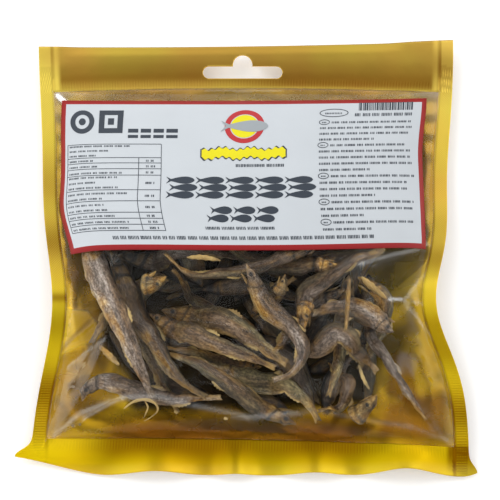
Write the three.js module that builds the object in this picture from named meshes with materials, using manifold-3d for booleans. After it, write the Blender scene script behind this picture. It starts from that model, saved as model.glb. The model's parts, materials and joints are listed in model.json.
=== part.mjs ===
// A sealed flat pouch of dried anchovies, lying on its back.
// Units are millimetres. +X is to the pouch's right, +Y towards its hang slot, and +Z up from the table.
// Two films are welded together all round: a foil back, flattened by the table, and a clear front that stands
// up over the fish. The printed label is a sheet of its own, stuck on the front film.
import * as THREE from 'three';
import { mergeVertices } from 'three/addons/utils/BufferGeometryUtils.js';
import Module from 'manifold-3d';

// Flat outline of the pouch, before the fish draw its sides in.
const LEFT_HALF_WIDTH = 82.8;
const RIGHT_HALF_WIDTH = 83.9;
const TOP_EDGE_Y = 85.0;
const BOTTOM_EDGE_Y = -87.2;
const SIDE_WELD = 5.5;
const WELD_THICKNESS = 0.5;
const CORNER_FLARE = 6.4;

// Heights above the table.
const RIM_HEIGHT = 5.5;
const WAIST_RISE = 5.5;
const CROWN_HEIGHT = 29.5;
const WAIST_Y = -23;

// The back lies flat on the table once it is this far in from the welds.
const BACK_TURN = 24;

// Standard display hook slot, and where it stands in the top weld.
const SLOT_WIDTH = 32;
const SLOT_HEIGHT = 5;
const SLOT_CROWN_RADIUS = 3.9;
const SLOT_RISE = 5.2;
const SLOT_X = -1.4;
const SLOT_Y = 74.3;

// The label is stuck on the front film and stiffens it.
const LABEL_LOW_Y = -8.8;
const LABEL_GAP = 0.6;
const LABEL_THICKNESS = 0.4;

// Grid of the pouch's two faces, and of the label.
const COLUMNS = 46;
const ROWS = 50;
const WELD_COLUMNS = 2;
const TOP_WELD_ROWS = 4;
const BOTTOM_WELD_ROWS = 4;
const LABEL_COLUMNS = 36;
const LABEL_ROWS = 14;

// Ridges where a fish lies against the front film: from x, y to x, y, half width, height.
const FISH_RIDGES = [
  [-64, -10, -40, -54, 5, 1.6],
  [-54, -8, -26, -58, 5, 1.6],
  [-33, -28, 8, -42, 6, 1.8],
  [0, -20, 18, -48, 6, 1.8],
  [-10, -30, 40, -36, 5, 1.2],
  [22, -34, 42, -52, 5, 1.4],
  [44, -22, 54, -50, 5, 1.6],
  [56, -38, 72, -70, 4, 2.2],
  [-20, -56, 22, -64, 5, 1.4],
];

// Sharp folds of the front film: from x, y to x, y, half width, height (a valley is below zero).
const FILM_FOLDS = [
  [-77, -75, -54, -36, 3.5, 2.4],
  [-77, -75, -48, -61, 3, 1.8],
  [-76, -44, -56, -32, 3, -3.2],
  [-76, -24, -58, -30, 2.5, 2.0],
  [-72, -8, -66, -34, 3, -1.8],
  [77, -77, 58, -58, 3, 1.8],
  [76, -40, 60, -24, 3, 2.4],
  [75, -22, 60, -23, 3, -3.4],
  [60, -24, 74, -4, 3, 2.0],
  [72, -56, 60, -26, 3.5, -1.8],
  [74, 2, 46, -14, 2.5, 1.2],
];

const bump = (value, centre, width) => Math.exp(-(((value - centre) / width) ** 2));
const clamp01 = (value) => Math.min(1, Math.max(0, value));
const smooth = (value) => clamp01(value) ** 2 * (3 - 2 * clamp01(value));

// Side edges of the pouch, drawn in at the waist where the fish lie thickest.
const leftEdge = (y) =>
  -(LEFT_HALF_WIDTH + 0.02 * y) + 2.6 * bump(y, 36.5, 38) + 8 * bump(y, WAIST_Y - 1.5, 34);
const rightEdge = (y) => RIGHT_HALF_WIDTH - 4.6 * bump(y, 23.5, 36) - 10.2 * bump(y, WAIST_Y - 0.5, 24);

// Top and bottom edges, and the inner edges of their welds.
const topEdge = (x) => TOP_EDGE_Y + 1.2 * (x / 84) + 1.8 * (x / 84) ** 2;
const bottomEdge = (x) =>
  BOTTOM_EDGE_Y + 5.4 * smooth((-x - 50) / 36) + 0.9 * bump(x, -34, 12) + 0.5 * bump(x, 26, 9)
  + 1.6 * bump(x, 60, 11) - 0.7 * bump(x, 78, 8);
const topWeldY = (x) => 67.4 - 1.4 * (x / 76) ** 2;
const bottomWeldY = (x) => -74.2 - 0.02 * x - 1.3 * (x / 75) ** 2;

// The free bottom edge ripples, and touches the table between its crests.
const bottomRipple = (x) =>
  1.0 + 5.6 * bump(x, -34, 12) + 4.2 * bump(x, -4, 6.5) + 4.8 * bump(x, 26, 9)
  + 8.0 * bump(x, 60, 12) + 3.4 * bump(x, -86, 16) + 4.0 * bump(x, 94, 9);

// Where a point stands between the side welds (across, from -1 to 1) and between the end welds (along).
function place(x, y) {
  const left = leftEdge(y) + SIDE_WELD;
  const right = rightEdge(y) - SIDE_WELD;
  const low = bottomWeldY(x);
  const high = topWeldY(x);
  return {
    across: (2 * (x - left)) / (right - left) - 1,
    along: (2 * (y - low)) / (high - low) - 1,
    sideGap: Math.min(x - left, right - x),
    endGap: Math.min(y - low, high - y),
  };
}

// Height of the welded rim, carried on smoothly under the middle.
function rimHeight(x, y) {
  const { across } = place(x, y);
  const sides = RIM_HEIGHT + WAIST_RISE * bump(y, WAIST_Y, 36) * clamp01(across * across);
  const droop = smooth((bottomWeldY(x) + 3 - y) / 13);
  const curl = 2.4 * smooth((y - 70) / 17) * (1 - (x / 90) ** 2);
  return sides * (1 - droop) + bottomRipple(x) * droop + curl + 1.2 * smooth((x - 50) / 34) * smooth((y - 60) / 26);
}

// A ridge or fold along a line: its height at a point, fading out at both ends.
function alongLine(x, y, [x0, y0, x1, y1, width, height], profile) {
  const length = Math.hypot(x1 - x0, y1 - y0);
  const ux = (x1 - x0) / length;
  const uy = (y1 - y0) / length;
  const run = (x - x0) * ux + (y - y0) * uy;
  const off = Math.abs((x - x0) * uy - (y - y0) * ux);
  const ends = smooth((run + width) / (2 * width)) * smooth((length - run + width) / (2 * width));
  return height * ends * profile(off / width);
}
const roundProfile = (q) => Math.exp(-q * q);
const sharpProfile = (q) => Math.exp(-1.4 * q);

function frontHeight(x, y) {
  const rim = rimHeight(x, y) + WELD_THICKNESS / 2;
  const { across, along, sideGap, endGap } = place(x, y);
  if (sideGap <= 0 || endGap <= 0) return rim;
  const crown = CROWN_HEIGHT * (1 - Math.abs(along) ** 2.4) ** 0.62 * (1 - 0.18 * along);
  const arch = (1 - Math.abs(across) ** 2.5) ** 0.7;
  const inside = smooth(Math.min(sideGap, endGap) / 7);
  const pucker = 0.7 * Math.sin(y * 0.62 + 1.5 * Math.sin(y * 0.13)) * bump(sideGap, 5, 5) * (0.4 + bump(y, WAIST_Y, 40));
  let relief = pucker;
  for (const ridge of FISH_RIDGES) relief += alongLine(x, y, ridge, roundProfile);
  for (const fold of FILM_FOLDS) relief += alongLine(x, y, fold, sharpProfile);
  const stiffened = 0.9 * smooth((y - LABEL_LOW_Y + 5) / 8) * smooth((sideGap - 1) / 6);
  return Math.max(rim, rim + crown * arch + relief * inside * (1 - stiffened));
}

function backHeight(x, y) {
  const rim = rimHeight(x, y) - WELD_THICKNESS / 2;
  const { sideGap, endGap } = place(x, y);
  if (sideGap <= 0 || endGap <= 0) return rim;
  const down = smooth(sideGap / BACK_TURN) * smooth(endGap / BACK_TURN);
  const pucker = 0.8 * Math.sin(x * 0.5 + y * 0.45) * bump(Math.min(sideGap, endGap), 9, 5);
  return Math.max(0, rim * (1 - down) + pucker * (1 - down));
}

// Grid lines follow the welds' inner edges, and stand closer together beside them.
function spread(step, steps, lead, trail, start, weldIn, weldOut, end) {
  if (step <= lead) return start + ((weldIn - start) * step) / lead;
  if (step >= steps - trail) return weldOut + ((end - weldOut) * (step - steps + trail)) / trail;
  const f = (step - lead) / (steps - lead - trail);
  const eased = f - (0.3 * Math.sin(2 * Math.PI * f)) / (2 * Math.PI);
  return weldIn + (weldOut - weldIn) * eased;
}

function pouchPoint(column, row, isFront) {
  let x = ((2 * column) / COLUMNS - 1) * 82;
  let y = 0;
  for (let pass = 0; pass < 4; pass += 1) {
    y = spread(row, ROWS, BOTTOM_WELD_ROWS, TOP_WELD_ROWS, bottomEdge(x), bottomWeldY(x), topWeldY(x), topEdge(x));
    const left = leftEdge(y);
    const right = rightEdge(y);
    x = spread(column, COLUMNS, WELD_COLUMNS, WELD_COLUMNS, left, left + SIDE_WELD, right - SIDE_WELD, right);
  }
  const left = leftEdge(y);
  const right = rightEdge(y);
  const z = isFront ? frontHeight(x, y) : backHeight(x, y);
  const lowRow = bump(y, bottomEdge(x), 4.6);
  const leftFlare = lowRow * bump(x, left, 11);
  const rightFlare = lowRow * bump(x, right, 11);
  x += CORNER_FLARE * (0.52 * rightFlare - leftFlare);
  y += 1.6 * leftFlare + 2.2 * rightFlare * bump(x, right + 4, 5);
  return [x, y, z];
}

// Removes normals and texture coordinates and merges the shared corners, so that the body is closed.
function closedBody(geometry) {
  geometry.deleteAttribute('normal');
  geometry.deleteAttribute('uv');
  return mergeVertices(geometry, 1e-4);
}

// A box of grid cells becomes the pouch: its upper face is the front film and its lower face the back film.
function pouchShape() {
  const body = closedBody(new THREE.BoxGeometry(COLUMNS, ROWS, 2, COLUMNS, ROWS, 1));
  const position = body.getAttribute('position');
  for (let i = 0; i < position.count; i += 1) {
    const column = Math.round(position.getX(i) + COLUMNS / 2);
    const row = Math.round(position.getY(i) + ROWS / 2);
    position.setXYZ(i, ...pouchPoint(column, row, position.getZ(i) > 0));
  }
  return body;
}

// The display hook slot: a bar with round ends and a round crown on its upper side.
function slotCutter() {
  const half = SLOT_WIDTH / 2 - SLOT_HEIGHT / 2;
  const low = -SLOT_HEIGHT / 2;
  const outline = new THREE.Shape();
  outline.moveTo(-half, low);
  outline.lineTo(half, low);
  outline.absarc(half, 0, SLOT_HEIGHT / 2, -Math.PI / 2, Math.PI / 2, false);
  outline.lineTo(SLOT_CROWN_RADIUS + 1.5, -low);
  outline.quadraticCurveTo(SLOT_CROWN_RADIUS, -low, SLOT_CROWN_RADIUS, -low + 1.2);
  outline.absarc(0, SLOT_RISE - 2.2, SLOT_CROWN_RADIUS, 0.18, Math.PI - 0.18, false);
  outline.quadraticCurveTo(-SLOT_CROWN_RADIUS, -low, -SLOT_CROWN_RADIUS - 1.5, -low);
  outline.lineTo(-half, -low);
  outline.absarc(-half, 0, SLOT_HEIGHT / 2, Math.PI / 2, (3 * Math.PI) / 2, false);
  const cutter = new THREE.ExtrudeGeometry(outline, { depth: 40, bevelEnabled: false, curveSegments: 8 });
  cutter.translate(SLOT_X, SLOT_Y, -10);
  return closedBody(cutter);
}

const wasm = await Module();
wasm.setup();

function toSolid(geometry) {
  return new wasm.Manifold(new wasm.Mesh({
    numProp: 3,
    vertProperties: Float32Array.from(geometry.getAttribute('position').array),
    triVerts: Uint32Array.from(geometry.index.array),
  }));
}

function toGeometry(solid) {
  const mesh = solid.getMesh();
  const geometry = new THREE.BufferGeometry();
  geometry.setAttribute('position', new THREE.BufferAttribute(mesh.vertProperties, 3));
  geometry.setIndex(new THREE.BufferAttribute(mesh.triVerts, 1));
  return geometry;
}

// The label's outline bends with the film: u runs left to right and v from its bottom to its top edge.
function labelPlace(u, v) {
  const left = -73.6 + 7.4 * smooth((0.34 - v) / 0.42) + 1.2 * bump(v, 0.45, 0.3);
  const right = 69.0 + 3.2 * smooth((v - 0.55) / 0.5);
  const x = left + (right - left) * u;
  const fromMiddle = Math.abs(2 * u - 1);
  const top = 56.7 + 4.8 * fromMiddle ** 2.2 + 0.9 * u;
  const bottom = LABEL_LOW_Y + (u < 0.5 ? 4.4 : 6.6) * fromMiddle ** 2.4 - 0.7 * bump(u, 0, 0.05);
  return [x, bottom + (top - bottom) * v];
}

function labelShape() {
  const sheet = closedBody(new THREE.BoxGeometry(LABEL_COLUMNS, LABEL_ROWS, 2, LABEL_COLUMNS, LABEL_ROWS, 1));
  const position = sheet.getAttribute('position');
  for (let i = 0; i < position.count; i += 1) {
    const u = position.getX(i) / LABEL_COLUMNS + 0.5;
    const v = position.getY(i) / LABEL_ROWS + 0.5;
    const [x, y] = labelPlace(u, v);
    const lift = LABEL_GAP + (position.getZ(i) > 0 ? LABEL_THICKNESS : 0);
    position.setXYZ(i, x, y, frontHeight(x, y) + lift);
  }
  return sheet;
}

function namedMesh(name, geometry, material) {
  geometry.computeVertexNormals();
  const mesh = new THREE.Mesh(geometry, material);
  mesh.name = name;
  return mesh;
}

const foil = new THREE.MeshStandardMaterial({ color: 0xc9a81e, roughness: 0.3, metalness: 0.9 });
const paper = new THREE.MeshStandardMaterial({ color: 0xdfe3e8, roughness: 0.35, metalness: 0 });

const pouch = toGeometry(toSolid(pouchShape()).subtract(toSolid(slotCutter())));
const label = labelShape();

// The origin is at the middle of the table area under the pouch.
pouch.computeBoundingBox();
const middle = pouch.boundingBox.getCenter(new THREE.Vector3());
const toOrigin = [-middle.x, -middle.y, -pouch.boundingBox.min.z];
pouch.translate(...toOrigin);
label.translate(...toOrigin);

const model = new THREE.Group();
model.add(namedMesh('pouch', pouch, foil));
model.add(namedMesh('label', label, paper));

export default model;
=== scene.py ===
import json
import math

import bmesh
import bpy
import numpy as np
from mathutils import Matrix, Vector

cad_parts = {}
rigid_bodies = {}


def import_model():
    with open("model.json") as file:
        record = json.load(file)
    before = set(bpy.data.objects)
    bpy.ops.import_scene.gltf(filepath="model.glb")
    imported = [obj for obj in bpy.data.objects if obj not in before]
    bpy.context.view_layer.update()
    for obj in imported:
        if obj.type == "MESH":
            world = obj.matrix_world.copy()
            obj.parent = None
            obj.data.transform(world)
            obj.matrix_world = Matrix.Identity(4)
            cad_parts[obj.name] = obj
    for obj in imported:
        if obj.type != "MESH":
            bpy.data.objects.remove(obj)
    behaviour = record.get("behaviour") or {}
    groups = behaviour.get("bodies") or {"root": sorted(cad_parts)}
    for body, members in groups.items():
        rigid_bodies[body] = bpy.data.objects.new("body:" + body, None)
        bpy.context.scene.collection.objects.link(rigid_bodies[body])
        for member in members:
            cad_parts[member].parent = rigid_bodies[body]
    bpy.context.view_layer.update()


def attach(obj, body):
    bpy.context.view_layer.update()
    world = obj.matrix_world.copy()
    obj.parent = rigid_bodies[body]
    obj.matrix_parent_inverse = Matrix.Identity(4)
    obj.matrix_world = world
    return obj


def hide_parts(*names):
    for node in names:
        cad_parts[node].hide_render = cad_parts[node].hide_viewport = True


for extra in list(bpy.data.objects):
    bpy.data.objects.remove(extra)
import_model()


# Stage: a pale table under soft studio lights, and a camera that looks down on the pouch as the photograph
# does. Large light panels stand all round, and the gold film mirrors them, so their places set its bright
# and olive bands, together with the painted reflection and shade stored in the film's tone.
LOOK_AT = Vector((0.0015, -0.0020, 0.0120))
LOOK_DOWN = math.radians(74)
CAMERA_DISTANCE = 0.60
CAMERA_LENS = 112.0
TABLE_HALF_WIDTH = 3.0

camera_data = bpy.data.cameras.new("camera")
camera_data.lens = CAMERA_LENS
camera_data.clip_start = 0.01
camera = bpy.data.objects.new("camera", camera_data)
camera.location = LOOK_AT + CAMERA_DISTANCE * Vector((0, -math.cos(LOOK_DOWN), math.sin(LOOK_DOWN)))
camera.rotation_euler = (math.pi / 2 - LOOK_DOWN, 0, 0)
bpy.context.scene.collection.objects.link(camera)
bpy.context.scene.camera = camera
bpy.context.scene.view_settings.view_transform = "Standard"


def new_material(name):
    """A material with its node tree, and the tree's Principled shader."""
    material = bpy.data.materials.new(name)
    material.use_nodes = True
    return material, material.node_tree, material.node_tree.nodes["Principled BSDF"]


def add_node(tree, kind, links=(), **settings):
    """A node with its settings. links names its inputs and what feeds each: a socket, or a plain value."""
    node = tree.nodes.new(kind)
    for name, value in settings.items():
        setattr(node, name, value)
    for key, source in dict(links).items():
        if isinstance(source, bpy.types.NodeSocket):
            tree.links.new(source, node.inputs[key])
        else:
            node.inputs[key].default_value = source
    return node


def place_in(tree):
    """Where each point lies, in its object's own coordinates."""
    return add_node(tree, "ShaderNodeTexCoord").outputs["Object"]


def noise(tree, place, scale, detail, roughness=0.5):
    """Soft random clouds, from 0 to 1."""
    links = {"Vector": place, "Scale": scale, "Detail": detail, "Roughness": roughness}
    return add_node(tree, "ShaderNodeTexNoise", links).outputs["Fac"]


def blend(tree, share, first, second, way="MIX"):
    """Mixes two colours by a share."""
    links = {0: share, 6: first, 7: second}
    return add_node(tree, "ShaderNodeMix", links, data_type="RGBA", blend_type=way).outputs[2]


def between(tree, value, low, high, to_low=0.0, to_high=1.0, way="LINEAR"):
    """Carries a value from one range to another. High may lie below low."""
    links = {"Value": value, "From Min": low, "From Max": high, "To Min": to_low, "To Max": to_high}
    return add_node(tree, "ShaderNodeMapRange", links, interpolation_type=way).outputs[0]


def reckon(tree, operation, *values, clamp=False):
    """The outcome of one step of arithmetic."""
    links = dict(enumerate(values))
    return add_node(tree, "ShaderNodeMath", links, operation=operation, use_clamp=clamp).outputs[0]


def finished_mesh(bm, name):
    mesh = bpy.data.meshes.new(name)
    bm.to_mesh(mesh)
    bm.free()
    return mesh


def table_top():
    bm = bmesh.new()
    bmesh.ops.create_grid(bm, x_segments=8, y_segments=8, size=TABLE_HALF_WIDTH)
    table = bpy.data.objects.new("table", finished_mesh(bm, "table"))
    material, tree, shader = new_material("pale_table")
    mottle = noise(tree, place_in(tree), 10.0, 3.0)
    shade = blend(tree, mottle, (0.93, 0.93, 0.93, 1), (0.96, 0.96, 0.96, 1))
    tree.links.new(shade, shader.inputs["Base Color"])
    shader.inputs["Roughness"].default_value = 0.7
    shader.inputs["Specular IOR Level"].default_value = 0.1
    shader.inputs["Emission Color"].default_value = (1, 1, 1, 1)
    shader.inputs["Emission Strength"].default_value = 0.16
    table.data.materials.append(material)
    bpy.context.scene.collection.objects.link(table)


def light_panel(name, azimuth, elevation, distance, width, height, power, mirrored):
    """A soft light that faces the pouch. Azimuth 0 is on the side of its hang slot, and 90 on its right."""
    lamp = bpy.data.lights.new(name, "AREA")
    lamp.shape = "RECTANGLE"
    lamp.size = width
    lamp.size_y = height
    lamp.energy = power
    panel = bpy.data.objects.new(name, lamp)
    turn, rise = math.radians(azimuth), math.radians(elevation)
    out = Vector((math.sin(turn) * math.cos(rise), math.cos(turn) * math.cos(rise), math.sin(rise)))
    panel.location = out * distance
    panel.rotation_euler = out.to_track_quat("Z", "Y").to_euler()
    panel.visible_glossy = mirrored
    bpy.context.scene.collection.objects.link(panel)


def studio_sky():
    """A bright tent. Whoever leans over the table shades it from above, and flat foil mirrors the shade."""
    world = bpy.data.worlds.new("studio")
    bpy.context.scene.world = world
    world.use_nodes = True
    tree = world.node_tree
    background = tree.nodes["Background"]
    direction = add_node(tree, "ShaderNodeTexCoord")
    split = add_node(tree, "ShaderNodeSeparateXYZ", {0: direction.outputs["Generated"]})
    sideways = reckon(tree, "ABSOLUTE", split.outputs["X"])
    shaded_across = between(tree, sideways, 0.50, 0.16, way="SMOOTHSTEP")
    shaded_along = between(tree, split.outputs["Y"], 0.50, 0.16, way="SMOOTHSTEP")
    shade = reckon(tree, "MULTIPLY", shaded_across, shaded_along)
    tree.links.new(between(tree, shade, 0.0, 1.0, 0.92, 0.13), background.inputs["Color"])
    background.inputs["Strength"].default_value = 1.30


# Each panel's azimuth and elevation in degrees, its distance, width and height in metres, its power in
# watts, and whether the foil mirrors it.
LIGHT_PANELS = (
    ("front_panel", 180, 42, 1.1, 0.8, 0.25, 0.9, True),
    ("left_panel", 300, 50, 1.0, 0.2, 0.5, 1.7, False),
    ("right_panel", 70, 45, 1.0, 0.2, 0.5, 0.5, True),
    ("low_key", 318, 30, 0.9, 0.25, 0.25, 0.6, True),
    ("near_panel", 180, 68, 1.0, 0.50, 0.12, 0.36, True),
    ("brim_panel", 180, 83, 1.0, 0.36, 0.14, 0.16, True),
)
table_top()
studio_sky()
for panel in LIGHT_PANELS:
    light_panel(*panel)


# Welded rim: the foil back and the clear front are heat-sealed together all round, and the seal shows as
# gold. It is stiff and ripples where it leaves the table. The sealing jaws pressed a knurl into its sides
# and fine upright ribs beside the window, and a standard display slot is punched through the top.
LEFT_HALF_WIDTH = 82.8
RIGHT_HALF_WIDTH = 83.9
TOP_EDGE_Y = 85.0
BOTTOM_EDGE_Y = -87.2
SIDE_WELD = 5.5
WELD_THICKNESS = 0.5
CORNER_FLARE = 6.4
RIM_HEIGHT = 5.5
WAIST_RISE = 5.5
WAIST_Y = -23.0
DRAWING_TO_FRAME = np.array((-0.0574, -0.1784, 0.0))
SIDE_RIB_COLUMNS = 22
END_RIB_ROWS = 26
RIM_MIDDLE_COLUMNS = 300
RIM_MIDDLE_ROWS = 600
KNURL_PITCH = 0.95
KNURL_DEPTH = 0.13
CRIMP_PITCH = 0.92
CRIMP_DEPTH = 0.05
GROOVE_DEPTH = 0.16
SLOT_WIDTH = 32.0
SLOT_HEIGHT = 5.0
SLOT_CROWN_RADIUS = 3.9
SLOT_CROWN_RISE = 3.0
SLOT_X = -1.4
SLOT_Y = 74.3
PUNCH_LENGTH = 40


def bump(value, centre, width):
    return np.exp(-(((value - centre) / width) ** 2))


def smooth(value):
    value = np.clip(value, 0, 1)
    return value * value * (3 - 2 * value)


def left_edge(y):
    return -(LEFT_HALF_WIDTH + 0.02 * y) + 2.6 * bump(y, 36.5, 38) + 8 * bump(y, WAIST_Y - 1.5, 34)


def right_edge(y):
    return RIGHT_HALF_WIDTH - 4.6 * bump(y, 23.5, 36) - 10.2 * bump(y, WAIST_Y - 0.5, 24)


def top_edge(x):
    return TOP_EDGE_Y + 1.2 * (x / 84) + 1.8 * (x / 84) ** 2


def bottom_edge(x):
    waves = 0.9 * bump(x, -34, 12) + 0.5 * bump(x, 26, 9) + 1.6 * bump(x, 60, 11) - 0.7 * bump(x, 78, 8)
    return BOTTOM_EDGE_Y + 5.4 * smooth((-x - 50) / 36) + waves


def top_weld(x):
    return 67.4 - 1.4 * (x / 76) ** 2


def bottom_weld(x):
    return -74.2 - 0.02 * x - 1.3 * (x / 75) ** 2


def bottom_ripple(x):
    crests = 5.6 * bump(x, -34, 12) + 4.2 * bump(x, -4, 6.5) + 4.8 * bump(x, 26, 9) + 8.0 * bump(x, 60, 12)
    return 1.0 + crests + 3.4 * bump(x, -86, 16) + 4.0 * bump(x, 94, 9)


def window_place(x, y):
    """Across the window and along it, each from -1 to 1, and the gaps to its nearest side and end weld."""
    left, right = left_edge(y) + SIDE_WELD, right_edge(y) - SIDE_WELD
    low, high = bottom_weld(x), top_weld(x)
    across = 2 * (x - left) / (right - left) - 1
    along = 2 * (y - low) / (high - low) - 1
    return across, along, np.minimum(x - left, right - x), np.minimum(y - low, high - y)


def rim_height(x, y):
    across = window_place(x, y)[0]
    sides = RIM_HEIGHT + WAIST_RISE * bump(y, WAIST_Y, 36) * np.clip(across * across, 0, 1)
    droop = smooth((bottom_weld(x) + 3 - y) / 13)
    curl = 2.4 * smooth((y - 70) / 17) * (1 - (x / 90) ** 2)
    lift = 1.2 * smooth((x - 50) / 34) * smooth((y - 60) / 26)
    roll = 0.55 * smooth((y - top_edge(x) + 4.2) / 4.2) * smooth((72 - np.abs(x + 5)) / 10)
    return sides * (1 - droop) + bottom_ripple(x) * droop + curl + lift - roll


def to_frame(x, y, z):
    """Points of the drawing, in millimetres, as points of the frame, in metres."""
    return (np.stack(np.broadcast_arrays(x, y, z), axis=-1) + DRAWING_TO_FRAME) / 1000


def corners_of(mesh):
    corners = np.empty(len(mesh.vertices) * 3, np.float32)
    mesh.vertices.foreach_get("co", corners)
    return corners.reshape(-1, 3)


def place_corners(mesh, points):
    mesh.vertices.foreach_set("co", points.astype(np.float32).ravel())


def store(mesh, name, kind, values):
    """Stores a value, vector or colour on each corner of a mesh, for its material to read."""
    field = {"FLOAT": "value", "FLOAT_VECTOR": "vector", "FLOAT_COLOR": "color"}[kind]
    attribute = mesh.attributes.new(name, kind, "POINT")
    attribute.data.foreach_set(field, values.astype(np.float32).ravel())


def stored(tree, name, output="Fac"):
    """What store() put on the mesh under a name."""
    return add_node(tree, "ShaderNodeAttribute", attribute_name=name).outputs[output]


def mesh_from_grid(name, columns, rows, shape, keep=None):
    """A grid whose corners shape(u, v) places, u and v from 0 to 1. keep(u, v) says which cells stay."""
    bm = bmesh.new()
    bmesh.ops.create_grid(bm, x_segments=columns, y_segments=rows, size=0.5)
    if keep is not None:
        middles = [face.calc_center_median() for face in bm.faces]
        stays = keep(np.array([m.x for m in middles]) + 0.5, np.array([m.y for m in middles]) + 0.5)
        gone = [face for face, stay in zip(bm.faces, stays) if not stay]
        bmesh.ops.delete(bm, geom=gone, context="FACES")
    mesh = finished_mesh(bm, name)
    u, v = corners_of(mesh).astype(float).T[:2] + 0.5
    place_corners(mesh, shape(u, v))
    mesh.shade_smooth()
    mesh.update()
    return mesh


def add_piece(name, mesh, *materials):
    """Puts a finished mesh into the scene as a piece that rides on the pouch."""
    piece = bpy.data.objects.new(name, mesh)
    bpy.context.scene.collection.objects.link(piece)
    for material in materials:
        mesh.materials.append(material)
    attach(piece, "root")
    return piece


def thicken(piece, millimetres):
    wall = piece.modifiers.new("thickness", "SOLIDIFY")
    wall.thickness = millimetres / 1000
    wall.offset = 0
    wall.use_even_offset = False


def through_weld(t, lead, start, weld_in, weld_out, end):
    """Runs from start to end as t goes from 0 to 1, and is in the welds for the first and the last lead."""
    first = start + (weld_in - start) * t / lead
    middle = weld_in + (weld_out - weld_in) * (t - lead) / (1 - 2 * lead)
    last = weld_out + (end - weld_out) * (t - 1 + lead) / lead
    return np.where(t < lead, first, np.where(t > 1 - lead, last, middle))


RIM_COLUMNS = RIM_MIDDLE_COLUMNS + 2 * SIDE_RIB_COLUMNS
RIM_ROWS = RIM_MIDDLE_ROWS + 2 * END_RIB_ROWS
SIDE_LEAD = SIDE_RIB_COLUMNS / RIM_COLUMNS
END_LEAD = END_RIB_ROWS / RIM_ROWS


def weld_gaps(x, y):
    """How far in from the nearer side edge, and how far past the window's nearer end."""
    return np.minimum(x - left_edge(y), right_edge(y) - x), np.maximum(y - top_weld(x), bottom_weld(x) - y)


def pressed_pattern(x, y):
    """What the sealing jaws pressed, -1 in the pits to 1 on top: a knurl on the side welds, then ribs low
    down. Upright crimp lines follow beside the window's two ends."""
    from_side, past_end = weld_gaps(x, y)
    turn = 2 * math.pi / KNURL_PITCH
    dimples = np.sin(turn * from_side) * np.sin(turn * y)
    ribs = np.sin(turn * y)
    on_side = smooth((from_side - 0.3) / 0.4) * smooth((SIDE_WELD - 0.7 - from_side) / 0.4)
    on_side = on_side * (1 - smooth((past_end - 7) / 4))
    low_part = smooth((-34 - y) / 30)
    knurl = on_side * (dimples * (1 - 0.6 * low_part) + 0.8 * ribs * low_part)
    crimp = np.sin(2 * math.pi * x / CRIMP_PITCH) * smooth((from_side - SIDE_WELD) / 3)
    crimp = crimp * smooth((past_end + 0.2) / 0.6) * smooth((4.6 - past_end) / 1.6)
    return knurl, crimp


def pressed_depth(x, y):
    knurl, crimp = pressed_pattern(x, y)
    from_side, past_end = weld_gaps(x, y)
    groove = bump(from_side, SIDE_WELD - 0.35, 0.3) * (past_end < 6)
    return KNURL_DEPTH * knurl + CRIMP_DEPTH * crimp - GROOVE_DEPTH * groove


def rim_points(u, v):
    x = (2 * u - 1) * 82
    for _ in range(5):
        y = through_weld(v, END_LEAD, bottom_edge(x), bottom_weld(x), top_weld(x), top_edge(x))
        left, right = left_edge(y), right_edge(y)
        x = through_weld(u, SIDE_LEAD, left, left + SIDE_WELD, right - SIDE_WELD, right)
    z = rim_height(x, y) + pressed_depth(x, y)
    low_row = bump(y, bottom_edge(x), 4.6)
    left_flare = low_row * bump(x, left, 11)
    right_flare = low_row * bump(x, right, 11)
    flared_x = x + CORNER_FLARE * (0.52 * right_flare - left_flare)
    flared_y = y + 1.6 * left_flare + 2.2 * right_flare * bump(x, right + 4, 5)
    return to_frame(flared_x, flared_y, z)


def in_welds(u, v):
    return (u < SIDE_LEAD) | (u > 1 - SIDE_LEAD) | (v < END_LEAD) | (v > 1 - END_LEAD)


def slot_cutter():
    """The punch of a standard display slot: a bar with round ends, and a round crown amid its top."""
    bm = bmesh.new()
    half = (SLOT_WIDTH - SLOT_HEIGHT) / 2
    end = SLOT_HEIGHT / 2
    for x, y, radius in ((-half, 0, end), (half, 0, end), (0, SLOT_CROWN_RISE, SLOT_CROWN_RADIUS)):
        size = {"radius1": radius, "radius2": radius, "depth": PUNCH_LENGTH}
        ring = bmesh.ops.create_cone(bm, cap_ends=True, segments=48, **size)
        bmesh.ops.translate(bm, verts=ring["verts"], vec=(x, y, 0))
    bars = ((2 * half, SLOT_HEIGHT, 0), (2 * SLOT_CROWN_RADIUS, SLOT_CROWN_RISE, SLOT_CROWN_RISE / 2))
    for width, height, y in bars:
        bar = bmesh.ops.create_cube(bm, size=1)["verts"]
        bmesh.ops.scale(bm, verts=bar, vec=(width, height, PUNCH_LENGTH))
        bmesh.ops.translate(bm, verts=bar, vec=(0, y, 0))
    bmesh.ops.translate(bm, verts=bm.verts, vec=Vector((SLOT_X, SLOT_Y, 0)) + Vector(DRAWING_TO_FRAME))
    bmesh.ops.scale(bm, verts=bm.verts, vec=(0.001, 0.001, 0.001))
    cutter = bpy.data.objects.new("slot_punch", finished_mesh(bm, "slot_punch"))
    bpy.context.scene.collection.objects.link(cutter)
    return cutter


def settle(piece):
    """Applies a piece's modifiers, so that its mesh is the finished one."""
    depsgraph = bpy.context.evaluated_depsgraph_get()
    finished = bpy.data.meshes.new_from_object(piece.evaluated_get(depsgraph))
    piece.modifiers.clear()
    piece.data = finished


def new_group(name, inputs, outputs):
    """A node group with named sockets, the sockets that it takes in and the node that puts out."""
    group = bpy.data.node_groups.new(name, "ShaderNodeTree")
    for way, sockets in (("INPUT", inputs), ("OUTPUT", outputs)):
        for socket, kind in sockets.items():
            group.interface.new_socket(socket, in_out=way, socket_type=kind)
    return group, add_node(group, "NodeGroupInput").outputs, add_node(group, "NodeGroupOutput")


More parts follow.
